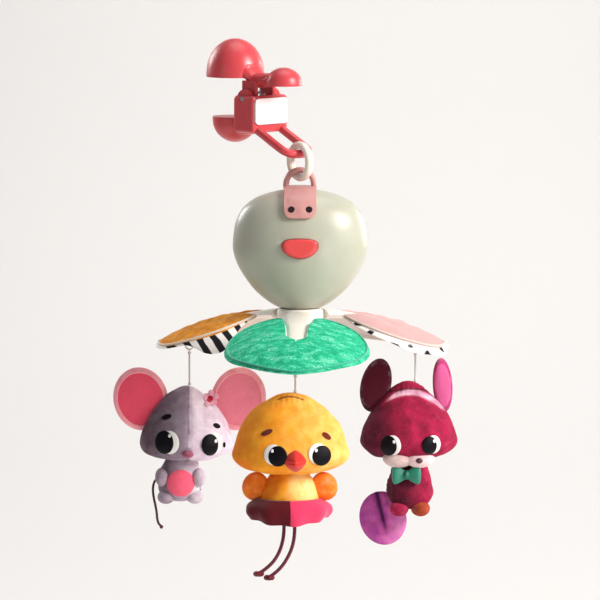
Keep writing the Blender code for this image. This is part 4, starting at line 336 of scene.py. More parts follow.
def look(name, kind, colour=None, **values):
    """A material that uses one of the shader groups."""
    made, tree = blank(name)
    if colour:
        made.diffuse_color = (*colour, 1)
        values["colour"] = colour
    used = node(tree, "Group", node_tree=GROUPS[kind])
    for key, value in values.items():
        used.inputs[key.capitalize()].default_value = (*value, 1) if isinstance(value, tuple) else value
    node(tree, "OutputMaterial", {"Surface": used.outputs[0]})
    return made


# Shapes

class Piece:
    """Grids of points that become one object with several looks."""

    def __init__(self):
        self.grids = []
        self.count = 0

    def grid(self, points, slot=0, wrap=True, seam=0.0, painted_light_and_tone=0.0, cut=0.0):
        """Rows of points joined into faces; a wrapped row closes on itself.

        Slot, seam, painted light and shade, and cut are one value for all points, or one for each.
        """
        shape = points.shape[:2]
        index = np.arange(shape[0] * shape[1]).reshape(shape) + self.count
        near = index if wrap else index[:, :-1]
        far = np.roll(index, -1, 1) if wrap else index[:, 1:]
        quads = np.stack([near[:-1], far[:-1], far[1:], near[1:]], -1)
        slots = np.broadcast_to(slot, shape)[:quads.shape[0], :quads.shape[1]]
        self.grids.append((
            points.reshape(-1, 3), quads.reshape(-1, 4), slots.reshape(-1), np.broadcast_to(seam, shape).reshape(-1),
            np.broadcast_to(painted_light_and_tone, shape).reshape(-1), np.broadcast_to(cut, (*shape, 2)).reshape(-1, 2)))
        self.count += index.size
        return self

    def made(self, name, looks, body, record_slot, stands_for=None, fill=None):
        """The finished object, riding on its body; it may stand for a CAD piece. Its padding, fill, is not used."""
        points, faces, slots, seam, painted_light_and_tone, cut = (np.concatenate(each) for each in zip(*self.grids))
        mesh = bpy.data.meshes.new(name)
        mesh.from_pydata(points.tolist(), [], faces.tolist())
        mesh.polygons.foreach_set("material_index", slots.astype(np.int32))
        mesh.shade_smooth()
        for kind, values in (("seam", seam), ("painted_light_and_tone", painted_light_and_tone)):
            layer = mesh.attributes.new(kind, "FLOAT", "POINT")
            layer.data.foreach_set("value", values.astype(np.float32))
        sheet = mesh.uv_layers.new(name="cut")
        corners = np.zeros(len(mesh.loops), np.int32)
        mesh.loops.foreach_get("vertex_index", corners)
        sheet.data.foreach_set("uv", cut[corners].astype(np.float32).reshape(-1))
        work = bmesh.new()
        work.from_mesh(mesh)
        bmesh.ops.remove_doubles(work, verts=work.verts, dist=1e-7)
        bmesh.ops.dissolve_degenerate(work, edges=work.edges, dist=1e-8)
        bmesh.ops.recalc_face_normals(work, faces=work.faces)
        work.to_mesh(mesh)
        work.free()
        for each in looks:
            mesh.materials.append(each)
        made = placed(name, mesh)
        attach(made, body)
        if stands_for:
            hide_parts(stands_for)
        return made


def eased(table, at):
    """Values of a table of (place, value) along a smooth line through its points."""
    places, values = np.array(table, float).T
    slopes = np.gradient(values, places)
    cell = np.clip(np.searchsorted(places, at) - 1, 0, len(places) - 2)
    width = places[cell + 1] - places[cell]
    t = (at - places[cell]) / width
    return (
        (2 * t**3 - 3 * t**2 + 1) * values[cell] + (t**3 - 2 * t**2 + t) * width * slopes[cell]
        + (3 * t**2 - 2 * t**3) * values[cell + 1] + (t**3 - t**2) * width * slopes[cell + 1]
    )


def bell(away, width):
    """One at no distance, falling off smoothly over a width."""
    return np.exp(-(away / width) ** 2)


def step_down(at, width):
    """One well below nothing and none well above it, passing smoothly over a width."""
    return 1 / (1 + np.exp(at / width))


def around(count):
    """Angles evenly round a full turn."""
    return np.linspace(0, FULL_TURN, count, endpoint=False)


def circle(count):
    """Places evenly round a unit circle, as across and up."""
    turn = around(count)
    return np.stack([np.cos(turn), np.sin(turn)], -1)


def quarter(count):
    """Shares from none to all that crowd together towards the end, as on a rounded edge."""
    return np.sin(np.linspace(0, math.pi / 2, count))


def bent(table):
    """A stuffed form's table with its heights as angles from the bottom, so that its ends are round."""
    return [(math.acos(1 - 2 * place), value) for place, value in table]


HEAD = bent((
    (0, 0), (0.04, 0.62), (0.12, 0.9), (0.22, 1.0), (0.35, 0.97), (0.5, 0.88),
    (0.68, 0.7), (0.85, 0.45), (0.95, 0.24), (1, 0),
))
FULL_HEAD = bent((
    (0, 0), (0.04, 0.62), (0.12, 0.9), (0.22, 1.0), (0.35, 0.985), (0.5, 0.92),
    (0.68, 0.775), (0.85, 0.545), (0.95, 0.31), (1, 0),
))
BODY = bent((
    (0, 0), (0.05, 0.5), (0.15, 0.85), (0.3, 1.0), (0.5, 0.97), (0.7, 0.84),
    (0.88, 0.62), (0.97, 0.3), (1, 0),
))
PILLOW = ((0, 1.0), (0.4, 0.95), (0.72, 0.78), (0.92, 0.46), (1, 0.16))
SEAM_WIDTH = 1.5 * MM
SEAM_DEPTH = 0.75 * MM
THREAD_WIDTH = 0.55 * MM
STITCH = 3.4 * MM
PUCKER = 0.16 * MM
PUCKER_WIDTH = 3.2 * MM
EDGE_PUCKER = 0.18 * MM
EDGE_STITCHES = 34
PATCH_DEPTH = 0.6 * MM
WAVES = 7


def lumps(points, size, seed, amount):
    """Soft unevenness of stuffing at points, from a few waves in set directions."""
    draw = np.random.default_rng(seed)
    total = np.zeros(points.shape[:-1])
    for _ in range(WAVES):
        way = draw.normal(size=3)
        way *= FULL_TURN / (np.linalg.norm(way) * size * draw.uniform(0.7, 1.6))
        total += np.sin(points @ way + draw.uniform(0, 6.28))
    return total * amount / 2.6


def normals(points):
    """The way each point of a wrapped grid faces, outward from its middle."""
    out = np.cross(np.roll(points, -1, 1) - np.roll(points, 1, 1), np.gradient(points, axis=0))
    out /= np.maximum(np.linalg.norm(out, axis=-1, keepdims=True), 1e-12)
    middle = points.reshape(-1, 3).mean(0)
    return -out if ((points - middle) * out).sum() < 0 else out


def stuffed(top, size, shape, columns, rows, seed, seams, lump, lump_size):
    """A stuffed form's grid of points, and how strongly a seam's thread shows at each.

    A seam is a function that gives how far points are from it, and how far along it.
    """
    size = mm(*size)
    angle = np.linspace(0, math.pi, rows)
    share = np.maximum(eased(shape, angle), 0)
    share[0] = share[-1] = 0
    climb = (1 - np.cos(angle)) / 2
    turn = around(columns)
    points = np.empty((rows, columns, 3))
    points[..., 0] = top[0] + size[0] / 2 * share[:, None] * np.cos(turn)
    points[..., 1] = top[1] + size[1] / 2 * share[:, None] * np.sin(turn)
    points[..., 2] = (top[2] - size[2] * (1 - climb))[:, None]
    out = normals(points)
    shift = lumps(points, lump_size * MM, seed, lump * MM)
    thread = np.zeros(points.shape[:2])
    for away in seams:
        distance, along = away(points)
        shift -= SEAM_DEPTH * bell(distance, SEAM_WIDTH)
        shift += PUCKER * np.sin(along * FULL_TURN / STITCH) * bell(distance, PUCKER_WIDTH)
        thread = np.maximum(thread, bell(distance, THREAD_WIDTH))
    fade = np.minimum(share / 0.3, 1)[:, None]
    points += out * (shift * fade)[..., None]
    return points, thread


def front_of(top, size, shape, spots):
    """The height of a stuffed form's front, as Y, at places across and down from its top."""
    size = mm(*size)
    climb = np.clip(1 + spots[..., 1] / size[2], 0.0, 1.0)
    share = np.maximum(eased(shape, np.arccos(1 - 2 * climb)), 0.02)
    inside = np.clip(1 - (spots[..., 0] / (share * size[0] / 2)) ** 2, 0.0, 1)
    return top[1] - share * size[1] / 2 * np.sqrt(inside)


def patch(piece, carrier, spot, size, slot=0, *, rise, lift, tilt=0.0):
    """A round sewn-on patch that follows a stuffed form's front and stands a little proud."""
    top, form_size, shape = carrier
    lean = math.radians(tilt)
    turned = np.array(((math.cos(lean), math.sin(lean)), (-math.sin(lean), math.cos(lean))))
    rim = circle(40) * np.array(size) / 2 * MM @ turned
    share = quarter(9)
    flat = mm(*spot) + share[:, None, None] * rim[None]
    height = (rise * np.sqrt(np.maximum(1 - share**2, 0)) + lift)[:, None] * MM
    front = front_of(top, form_size, shape, flat)
    points = np.stack([top[0] + flat[..., 0], front - height, top[2] + flat[..., 1]], -1)
    back = points[::-1].copy()
    back[..., 1] = front[::-1] + PATCH_DEPTH
    piece.grid(np.concatenate([points, back]), slot)


def pillow(middle, size, lean, seed, columns=120):
    """A flat stuffed form that faces front and back, leaning sideways."""
    half = mm(*size) / 2
    reach = quarter(36)[:, None]
    turn = around(columns)
    both = []
    for way in (-1, 1):
        points = np.zeros((len(reach), columns, 3))
        points[..., 0] = half[0] * reach * np.cos(turn)
        points[..., 2] = half[2] * reach * np.sin(turn)
        points[..., 1] = way * half[1] * eased(PILLOW, reach)
        bump = lumps(points, 9 * MM, seed + way, 0.25 * MM) * (1 - reach ** 4)
        pucker = EDGE_PUCKER * np.cos(EDGE_STITCHES * turn) * reach ** 6 * (1 - reach ** 30)
        points[..., 1] += way * (bump + pucker)
        both.append(points)
    points = np.concatenate([both[0], both[1][::-1]])
    turned = points.copy()
    lean = math.radians(lean)
    turned[..., 0] = points[..., 0] * math.cos(lean) + points[..., 2] * math.sin(lean)
    turned[..., 2] = points[..., 2] * math.cos(lean) - points[..., 0] * math.sin(lean)
    return turned + middle


def distances(line):
    """How far along a line each of its points lies."""
    return np.concatenate([[0], np.cumsum(np.linalg.norm(np.diff(line, axis=0), axis=1))])


def path_of(route, step=0.6):
    """Evenly spaced points on a smooth line through a route's points."""
    length = distances(route)
    at = np.linspace(0, length[-1], max(int(length[-1] / (step * MM)), 8))
    return np.stack([eased(np.stack([length, route[:, axis]], -1), at) for axis in range(3)], -1)


def tube_grid(line, radius, sides=14, closed=False):
    """Rings of points round a line, and their places as a cut length of cord."""
    along = np.roll(line, -1, 0) - np.roll(line, 1, 0) if closed else np.gradient(line, axis=0)
    along /= np.linalg.norm(along, axis=1, keepdims=True)
    side = np.zeros_like(along)
    last = np.cross(along[0], (0.3, 0.2, 0.9))
    for index, way in enumerate(along):
        last = last - way * (last @ way)
        last /= np.linalg.norm(last)
        side[index] = last
    other = np.cross(along, side)
    turn = around(sides)
    ring = side[:, None] * np.cos(turn)[:, None] + other[:, None] * np.sin(turn)[:, None]
    points = line[:, None] + radius * ring
    cut = np.stack(np.broadcast_arrays(turn[None] / FULL_TURN, distances(line)[:, None]), -1)
    if closed:
        return np.concatenate([points, points[:1]]), np.concatenate([cut, cut[:1]])
    start, end = line[:1, None].repeat(sides, 1), line[-1:, None].repeat(sides, 1)
    return np.concatenate([start, points, end]), np.concatenate([cut[:1], cut, cut[-1:]])


def ball_grid(middle, size, seed, lump=0.2, rows=40, columns=60):
    """A small stuffed ball."""
    angle = np.linspace(0, math.pi, rows)[:, None]
    turn = around(columns)[None]
    half = mm(*size) / 2
    points = np.stack([
        half[0] * np.sin(angle) * np.cos(turn), half[1] * np.sin(angle) * np.sin(turn),
        half[2] * np.cos(angle) * np.ones_like(turn)], -1)
    shift = lumps(points, 7 * MM, seed, lump * MM) * np.sin(angle)
    return points * (1 + shift / np.linalg.norm(half))[..., None] + middle


def turned_by(points, turn, place):
    """Points turned about the vertical and moved."""
    c, s = math.cos(turn), math.sin(turn)
    return points @ np.array(((c, s, 0), (-s, c, 0), (0, 0, 1))) + place


# Camera, as far off as the photograph was taken, and the cords

VIEW_DISTANCE = 3.5
VIEW_RISE = math.radians(6)
VIEW_WIDTH = 0.390
aim = Vector((42.4, -42.4, -116.8)) * MM
lens = bpy.data.cameras.new("camera")
lens.lens = lens.sensor_width * VIEW_DISTANCE / VIEW_WIDTH
lens.clip_end = 20
scene.camera = placed("camera", lens)


def aimed(thing, away):
    """Put a camera or lamp at a place from the mobile's middle, facing it."""
    thing.location = aim + away
    thing.rotation_euler = (-away).to_track_quat("-Z", "Y").to_euler()


aimed(scene.camera, Vector((0, -math.cos(VIEW_RISE), math.sin(VIEW_RISE))) * VIEW_DISTANCE)

CORD_DARK = look("dark_cord_thread", "twisted", (0.1, 0.035, 0.045))
CORD_MAROON = look("maroon_cord_thread", "twisted", (0.17, 0.02, 0.035))
CORD_PALE = look("pale_string_thread", "twisted", (0.82, 0.8, 0.74))
TOES = ((-1.5, 0.0, -0.3), (1.5, 0.0, -0.3), (0.0, -0.9, -0.3))
TOE_SIZE = (4.0, 3.6, 3.6)
TAIL_KNOT = (2.6, 2.6, 2.6)
STRAND_LENGTHS = (("mouse", MOUSE_TOP, 23), ("chick", CHICK_TOP, 12), ("bunny", BUNNY_TOP, 20))
STRAND_RADIUS = 0.6 * MM
STRAND_START = 1.5 * MM
STRAND_KNOT = 2.4


def free_cord(name, top, route, radius, skin, stands_for):
    """A cord along its route from part.py, with that route's line and length."""
    line = path_of(mm(*route) + top)
    points, cut = tube_grid(line, radius * MM)
    made = Piece().grid(points, cut=cut).made(name, [skin], stands_for, "dark_cord", stands_for)
    return made, line, round(float(distances(line)[-1]), 4)


tail, tail_line, tail_length = free_cord("mouse_cord_tail", MOUSE_TOP, MOUSE_TAIL, 0.8, CORD_DARK, "mouse_tail")
tail_knot = Piece().grid(ball_grid(tail_line[-1], TAIL_KNOT, 9, 0.25, 16, 20)).made(
    "mouse_tail_knot", [CORD_DARK], "mouse_tail", "dark_cord")

for side, route in CHICK_LEGS.items():
    body = f"chick_leg_{side}"
    leg, leg_line, leg_length = free_cord(f"chick_cord_leg_{side}", CHICK_TOP, route, 1.15, CORD_MAROON, body)
    foot = Piece()
    for toe, shift in enumerate(TOES):
        foot.grid(ball_grid(leg_line[-1] + mm(*shift), TOE_SIZE, 20 + toe, 0.2, 24, 30))
    skin = look(f"foot_felt_{side}", "plush", (0.2, 0.015, 0.03), pile=2200.0)
    made_foot = foot.made(f"chick_foot_{side}", [skin], body, "dark_cord")

# The three hanging strings, each a thin twisted strand with a knot at both ends, from the wire loop to the head
for toy, top, length in STRAND_LENGTHS:
    reach = np.linspace(0, (length - STRAND_KNOT) * MM, 40)
    line = np.stack([np.full_like(reach, top[0]), np.full_like(reach, top[1]), top[2] + STRAND_START + reach], -1)
    points, cut = tube_grid(line, STRAND_RADIUS, 12)
    piece = Piece().grid(points, cut=cut)
    for end in (line[0], line[-1]):
        piece.grid(ball_grid(end, (STRAND_KNOT,) * 3, 31, 0.3, 18, 22))
    piece.made(f"{toy}_strand", [CORD_PALE], f"{toy}_string", "cord_white", f"{toy}_string")


# Leaves

LEAF_OUTLINE = (
    (0, 1.0), (0.055, 0.905), (0.11, 0.855), (0.19, 0.835), (0.28, 0.865), (0.39, 0.905),
    (0.5, 0.9), (0.61, 0.905), (0.72, 0.9), (0.83, 0.85), (0.89, 0.8), (1, 0.67),
)
BLUNT_OUTLINE = (
    (0, 0.98), (0.055, 0.955), (0.11, 0.925), (0.19, 0.885), (0.28, 0.868), (0.39, 0.89),
    (0.5, 0.925), (0.61, 0.97), (0.72, 0.99), (0.83, 0.93), (0.89, 0.84), (1, 0.67),
)
ARM_WIDTHS = (
    (0.167, 1.0), (0.25, 0.93), (0.36, 0.8), (0.5, 0.66), (0.65, 0.56), (0.8, 0.51),
    (0.93, 0.5), (0.98, 0.4), (1.0, 0.22),
)
ARM_REACH = 92 * MM
ARM_HALF_WIDTH = 11 * MM
ARM_GAP = 1.0 * MM
NOTCH_END = 74 * MM
NOTCH_FADE = 4 * MM
NOTCH_ROOM = 25 * MM
LEAF_MIDDLE = 62 * MM
LEAF_HALF = 48 * MM
LEAF_TIP = 109 * MM
TIP_DROOP = 26 * MM
SIDE_DROOP = 10 * MM
SIDE_REACH = 43 * MM
LEAF_COLUMNS, LEAF_ROWS = 90, 26
LEAF_EDGE, LEAF_FILL = 0.8, 2.4
LEAF_LUMP = 0.5 * MM
LEAF_PUCKER = 0.3 * MM
LEAF_STITCHES = 52
BEAD_RADIUS = 0.75 * MM
BEAD_RISE = 0.9 * MM
FLANGE = ((0.15, 0.07), (0.6, 0.35), (1.0, 0.68), (1.2, 0.95), (1.1, 1.0))
PRINT_END = 0.82 * math.pi


def droop(out):
    """The height of an arm's middle line."""
    return -TIP_DROOP * (out / LEAF_TIP) ** 2


def leaf(name, arm, skins, seed, record_slot, drops, lined, outline=LEAF_OUTLINE, band=1):
    """A padded leaf whose two lobes stand either side of the arm, with a lining that hangs below its edge.

    The lined lobes have the print underneath, and the others have plain cotton there. A lobe's drops
    say how far the lining hangs, where along the edge from tip to root, and over what share of it.
    """
    piece = Piece()
    hub = np.array((HANG[0], HANG[1], HUB_Z))
    turn_to = math.radians(ARM_TURNS[arm])
    turn = np.linspace(0, math.pi, LEAF_COLUMNS)
    rim = LEAF_HALF * eased(outline, turn / math.pi)
    share = quarter(LEAF_ROWS)
    for side in (-1, 1):
        def lay(share, height, wider=0.0):
            """Points at shares of the way out, at a height over the leaf's middle line."""
            reach = (rim + wider)[None] * np.atleast_1d(share)[:, None]
            out = LEAF_MIDDLE + reach * np.cos(turn)
            across = reach * np.sin(turn)
            arm_half = ARM_HALF_WIDTH * np.interp(out / ARM_REACH, *np.array(ARM_WIDTHS).T) + ARM_GAP
            notch = arm_half * np.clip((NOTCH_END - out) / NOTCH_FADE, 0, 1)
            wide = across + notch * np.clip(1 - across / NOTCH_ROOM, 0, 1) ** 2
            middle = droop(out) - SIDE_DROOP * (across / SIDE_REACH) ** 2
            return np.stack([out, side * wide, middle + height], -1)

        thick = LEAF_EDGE + LEAF_FILL * (1 - share**3)
        top = lay(share, 0.0)
        bump = lumps(top, 13 * MM, seed, LEAF_LUMP) * (1 - share[:, None] ** 5)
        pucker = LEAF_PUCKER * np.sin(LEAF_STITCHES * turn) * (share[:, None] ** 9)
        top[..., 2] += thick[:, None] * MM + bump + pucker
        hang = 0.8 * np.sin(turn)
        for low, middle, width in drops[side]:
            hang = hang + low * np.exp(-np.abs((turn / math.pi - middle) / width) ** 3) * np.sin(turn) ** 0.4
        wave = 0.12 * hang * np.sin(9 * turn + seed)
        flange = []
        for step, drop in FLANGE:
            low = lay(1.0, 0.0, step * 1.6 * MM)[0]
            low[:, 2] -= (hang + wave) * drop * MM
            flange.append(low)
        under = lay(share[::-1], 0.0)
        under[..., 2] -= thick[::-1, None] * MM
        under[0] = lay(1.0, 0.0, 0.6 * MM)[0]
        under[0, :, 2] -= (0.8 + 0.55 * hang) * MM
        whole = np.concatenate([top, np.array(flange), under])
        cut = np.stack([whole[..., 0], side * whole[..., 1]], -1)
        cut[..., 1] -= np.minimum(whole[..., 2] - droop(whole[..., 0]), 0)
        slots = np.zeros(whole.shape[:2], int)
        slots[LEAF_ROWS:] = 2
        printed_part = turn < PRINT_END
        if side in lined:
            slots[LEAF_ROWS:, printed_part] = 1
        slots[LEAF_ROWS:LEAF_ROWS + len(FLANGE) - 1, printed_part] = band
        world = turned_by(whole.reshape(-1, 3), turn_to, hub).reshape(whole.shape)
        piece.grid(world, slots, wrap=False, cut=cut)
        for line in (world[:, 0], world[:, -1]):
            half = len(line) // 2
            piece.grid(np.stack([line[:half], line[::-1][:half]], 1), wrap=False)
        points, bead_cut = tube_grid(turned_by(lay(1.0, BEAD_RISE)[0], turn_to, hub), BEAD_RADIUS, 10)
        piece.grid(points, 2, cut=bead_cut)
    piece.made(name, skins, "carrier", record_slot, f"leaf_{arm}", 0.5)


STRIPES = look("striped_cotton", "printed", spots=0.0)
SPOTS = look("spotted_cotton", "printed", spots=1.0)
GREEN_TERRY = look("green_terry_pile", "terry", (0.05, 0.62, 0.36))
GREEN_EDGE = look("green_edge", "felt", (0.04, 0.45, 0.28))
leaf("terry_leaf", "front", [GREEN_TERRY, STRIPES, GREEN_EDGE], 11, "green_terry",
     {-1: (), 1: ()}, (-1, 1), BLUNT_OUTLINE, 0)
PALE_PINK = look("pale_pink_felt", "felt", (0.66, 0.38, 0.36))
CREAM_EDGE = look("cream_edge", "felt", (0.72, 0.62, 0.54))
leaf("spotted_leaf", "right", [PALE_PINK, SPOTS, CREAM_EDGE], 12, "pink_felt",
     {-1: ((4.2, 0.42, 0.36),), 1: ((2, 0.5, 0.4),)}, (-1,))
ORANGE_PILE = look("orange_felt", "plush", (0.9, 0.38, 0.02), shade=(0.68, 0.5, 0.3), pile=650.0, sheen=0.2)
CREAM_EDGE_LEFT = look("cream_edge_left", "felt", (0.86, 0.74, 0.58))
leaf("striped_leaf", "left", [ORANGE_PILE, STRIPES, CREAM_EDGE_LEFT], 13, "orange_felt",
     {1: ((12.5, 0.665, 0.1),), -1: ((3, 0.5, 0.4),)}, (1,))


# What the animals share

INK = look("eye_black", "satin", (0.003, 0.002, 0.004), roughness=0.5, shine=0.12)
BROW = look("brow_thread", "satin", (0.008, 0.004, 0.006), roughness=0.6, shine=0.1)
EYE_WHITE = look("eye_white", "satin", (0.9, 0.88, 0.86), roughness=0.45)
GLINT = (2.0, 2.4)


def seam_down(top, across):
    """A seam that runs down a form's front and back at a place across it."""
    def away(points):
        return np.abs(points[..., 0] - top[0] - across * MM), points[..., 2]
    return away


def seam_round(top, low, rise, reach):
    """A seam that arches over the front of a form's top, as far as its reach to either side."""
    def away(points):
        across = points[..., 0] - top[0]
        line = top[2] + (low + rise * (1 - (across / (reach * MM)) ** 2)) * MM
        past = np.maximum(np.abs(across) - reach * MM, 0) + np.maximum(points[..., 1] - top[1], 0)
        return np.hypot(points[..., 2] - line, past), points[..., 0]
    return away


def eyes(piece, carrier, spots):
    """Stitched eyes: a white that shows as a crescent beside each black, with a small glint."""
    for spot, size, white_way, shift in spots:
        spot = np.array(spot)
        patch(piece, carrier, spot + white_way, size, 1, rise=0.6, lift=0.55)
        patch(piece, carrier, spot, size, 0, rise=0.9, lift=0.95)
        patch(piece, carrier, spot + shift, GLINT, 1, rise=0.4, lift=1.4)


def lashes(piece, carrier, marks):
    """Short stitched bars, for brows and lashes."""
    for spot, size, tilt in marks:
        patch(piece, carrier, spot, size, 2, tilt=tilt, rise=0.45, lift=0.15)


def spread(points, top, spot, size, power=2.0):
    """How near points lie to a place across and down from a top: one there, falling off over its size."""
    across = (points[..., 0] - top[0] - spot[0] * MM) / (size[0] * MM)
    down = (points[..., 2] - top[2] - spot[1] * MM) / (size[1] * MM)
    return np.exp(-(np.abs(across) ** power + np.abs(down) ** power))


def inner_slots(grid, share):
    """Slots of a pillow whose front carries another cloth, as far as a share of its rows."""
    slots = np.zeros(grid.shape[:2], int)
    slots[: int(len(grid) * share)] = 1
    return slots


def mouse():
    """The stuffed mouse."""
    head_top = MOUSE_TOP + mm(-2, 0, 0.4)
    head_seam = 2.0
    carrier = (head_top, (62, 44, 50), HEAD)
    lilac = look("lilac_plush", "plush", (0.5, 0.42, 0.5), shade=(0.7, 0.62, 0.7), deep=(0.28, 0.22, 0.22),
                 light=(1.0, 0.88, 0.96))
    points, seam = stuffed(*carrier, 180, 110, 2, (seam_down(head_top, head_seam),), 0.35, 14)
    # Painted light and shade: the panel right of the seam painted lit, the left panel painted in shade, darker
    # further left
    across = (points[..., 0] - head_top[0]) / MM
    painted_light_and_tone = np.where(across > head_seam, 0.95, np.clip(-0.3 - (head_seam - across) / 38, -1, 0))
    Piece().grid(points, seam=seam * 0.45, painted_light_and_tone=painted_light_and_tone).made(
        "mouse_plush_head", [lilac], "mouse", "lilac_plush", "mouse_head", 0.8)

    blush = look("blush_plush", "plush", (1.0, 0.42, 0.46), shade=(1.0, 0.84, 0.87))
    for side, name, inner in (
        (-1, "left", look("rose_felt", "felt", (1.0, 0.1, 0.17))),
        (1, "right", look("pink_felt_inner", "felt", (1.0, 0.27, 0.35))),
    ):
        grid = pillow(MOUSE_TOP + mm(side * 32.3, 3, -8.8), (36, 8, 42), side * 12, 4 + side)
        edge = int(len(grid) * 0.33)
        bead, cut = tube_grid(grid[edge] + mm(0, -0.15, 0), 0.6 * MM, 8, closed=True)
        Piece().grid(grid, inner_slots(grid, 0.33)).grid(bead, cut=cut).made(
            f"mouse_plush_ear_{name}", [blush, inner], "mouse", "ear_pink", f"mouse_ear_{name}", 0.5)

    grey = look("grey_plush", "plush", (0.5, 0.42, 0.48), shade=(0.68, 0.62, 0.68), deep=(0.4, 0.33, 0.34),
                light=(0.85, 0.76, 0.8))
    body_top = MOUSE_TOP + mm(-6, 0, -43.5)
    body_form = (body_top, (30, 24, 33), BODY)
    points, seam = stuffed(*body_form, 130, 80, 6, (seam_down(body_top, 13.5),), 0.3, 10)
    # Painted light on the right of the body, painted shade on its left
    painted_light_and_tone = np.clip((points[..., 0] - body_top[0]) / (12 * MM), -0.8, 0.8)
    body = Piece().grid(points, seam=seam, painted_light_and_tone=painted_light_and_tone)
    for side in (-1, 1):
        for seed, spot, limb in (
            (14, (side * 12.5 - 6, -8, -59.5), (8.4, 8.4, 12.4)),
            (17, (side * 9.5 - 6, -5, -73), (11.4, 12.4, 9.4)),
        ):
            # the right limbs painted lit, the left ones in shade
            body.grid(ball_grid(MOUSE_TOP + mm(*spot), limb, seed + side), painted_light_and_tone=0.35 * side)
    body.made("mouse_plush_body", [grey], "mouse", "grey_plush", "mouse_body", 0.8)

    belly = Piece()
    patch(belly, body_form, (0.3, -19.8), (18.5, 18), rise=0.7, lift=0.3)
    belly.made("mouse_belly_patch", [look("belly_pink", "felt", (0.95, 0.13, 0.21))], "mouse", "ear_pink")

    face = Piece()
    eyes(face, carrier, (
        ((-14.2, -35.4), (12.4, 15.4), (3.6, 0), (3.4, 4.6)),
        ((15.8, -37.2), (11, 14.6), (2.8, 0.8), (3.8, 2.6)),
    ))
    lashes(face, carrier, (
        ((-12.9, -19.1), (6.8, 3.2), 18), ((20.3, -25.2), (5.2, 3), -30), ((25.2, -37.8), (1.6, 3.6), 0)))
    face.made("mouse_face", [INK, EYE_WHITE, BROW], "mouse", "dark_cord")
    nose = Piece()
    patch(nose, carrier, (1.2, -43.2), (7.6, 5.4), rise=2.2, lift=0.3)
    nose.made("mouse_nose", [look("nose_pink", "plush", (0.45, 0.12, 0.2), pile=2400.0)], "mouse", "ear_pink")

    flower = Piece()
    for petal in range(5):
        turn = FULL_TURN * petal / 5 + 0.3
        spot = (16.2 + 3.1 * math.cos(turn), -8.2 + 3.1 * math.sin(turn))
        patch(flower, carrier, spot, (4.6, 4.0), tilt=math.degrees(turn), rise=0.9, lift=0.2)
    patch(flower, carrier, (15.6, -8.6), (4.2, 4.2), 1, rise=1.1, lift=0.5)
    skins = [look("flower_pink", "felt", (0.9, 0.45, 0.55)), look("flower_red", "felt", (0.5, 0.01, 0.05))]
    flower.made("mouse_flower", skins, "mouse", "ear_pink")


def chick_skirt():
    """The chick's skirt: a felt cone with gathers, dark red over its left half and hot pink elsewhere."""
    top = CHICK_TOP + mm(-4.3, 0, -66.5)
    length = 15.9
    turn = around(260)
    climb = np.linspace(0, 1, 30)[:, None]
    half_x = 27.4 * MM * eased(((0, 0.74), (0.3, 0.96), (0.62, 1.0), (1, 0.9)), climb)
    half_y = 20.3 * MM * eased(((0, 0.83), (0.3, 0.96), (0.62, 1.0), (1, 0.92)), climb)
    gather = eased(((0, 0), (0.3, 0.5), (0.62, 1.0), (1, 1.0)), climb)
    fold = 1 + 0.03 * gather * np.cos(9 * turn)
    sides = 3.6 * np.cos(turn) ** 2 - 0.4 * np.cos(9 * turn)
    walls = [
        np.stack([
            (half_x * fold - inset * MM) * np.cos(turn), (half_y * fold - inset * MM) * np.sin(turn),
            (-length + sides * (0.35 + 0.65 * climb)) * climb * MM], -1) + top
        for inset in (0, 1.6)]
    grid = np.concatenate([walls[0], walls[1][::-1], walls[0][:1]])
    dark_side = (turn > math.radians(100)) & (turn < math.radians(272))
    skins = [look("hot_pink_felt", "felt", (0.86, 0.05, 0.14)), look("dark_red_felt", "felt", (0.12, 0.002, 0.008))]
    Piece().grid(grid, dark_side.astype(int)).made("chick_felt_skirt", skins, "chick", "skirt_felt", "chick_skirt")


def chick_beak(carrier):
    """The chick's beak: a felt cone with a crease, on the head's front."""
    head_top = carrier[0]
    spot = mm(3.0, -41.0)
    rim = circle(48)
    rim = np.sign(rim) * np.abs(rim) ** (1 / 0.72) * np.array((14.2, 14.7)) / 2 * MM
    share = np.linspace(0, 1, 16)[:, None]
    flat = spot + share[..., None] * rim
    base = front_of(*carrier, flat)
    crease = 1.4 * MM * bell(flat[..., 1] - spot[1] + 0.4 * MM, 0.8 * MM) * (1 - share ** 2)
    height = 7.2 * MM * (1 - share) ** 0.85 - crease + 0.3 * MM
    points = np.stack([head_top[0] + flat[..., 0], base - height, head_top[2] + flat[..., 1]], -1)
    rear = points[::-1].copy()
    rear[..., 1] = base[::-1] + 1.0 * MM
    Piece().grid(np.concatenate([points, rear])).made(
        "chick_felt_beak", [look("beak_red", "felt", (0.72, 0.03, 0.02))], "chick", "beak_red", "chick_beak")


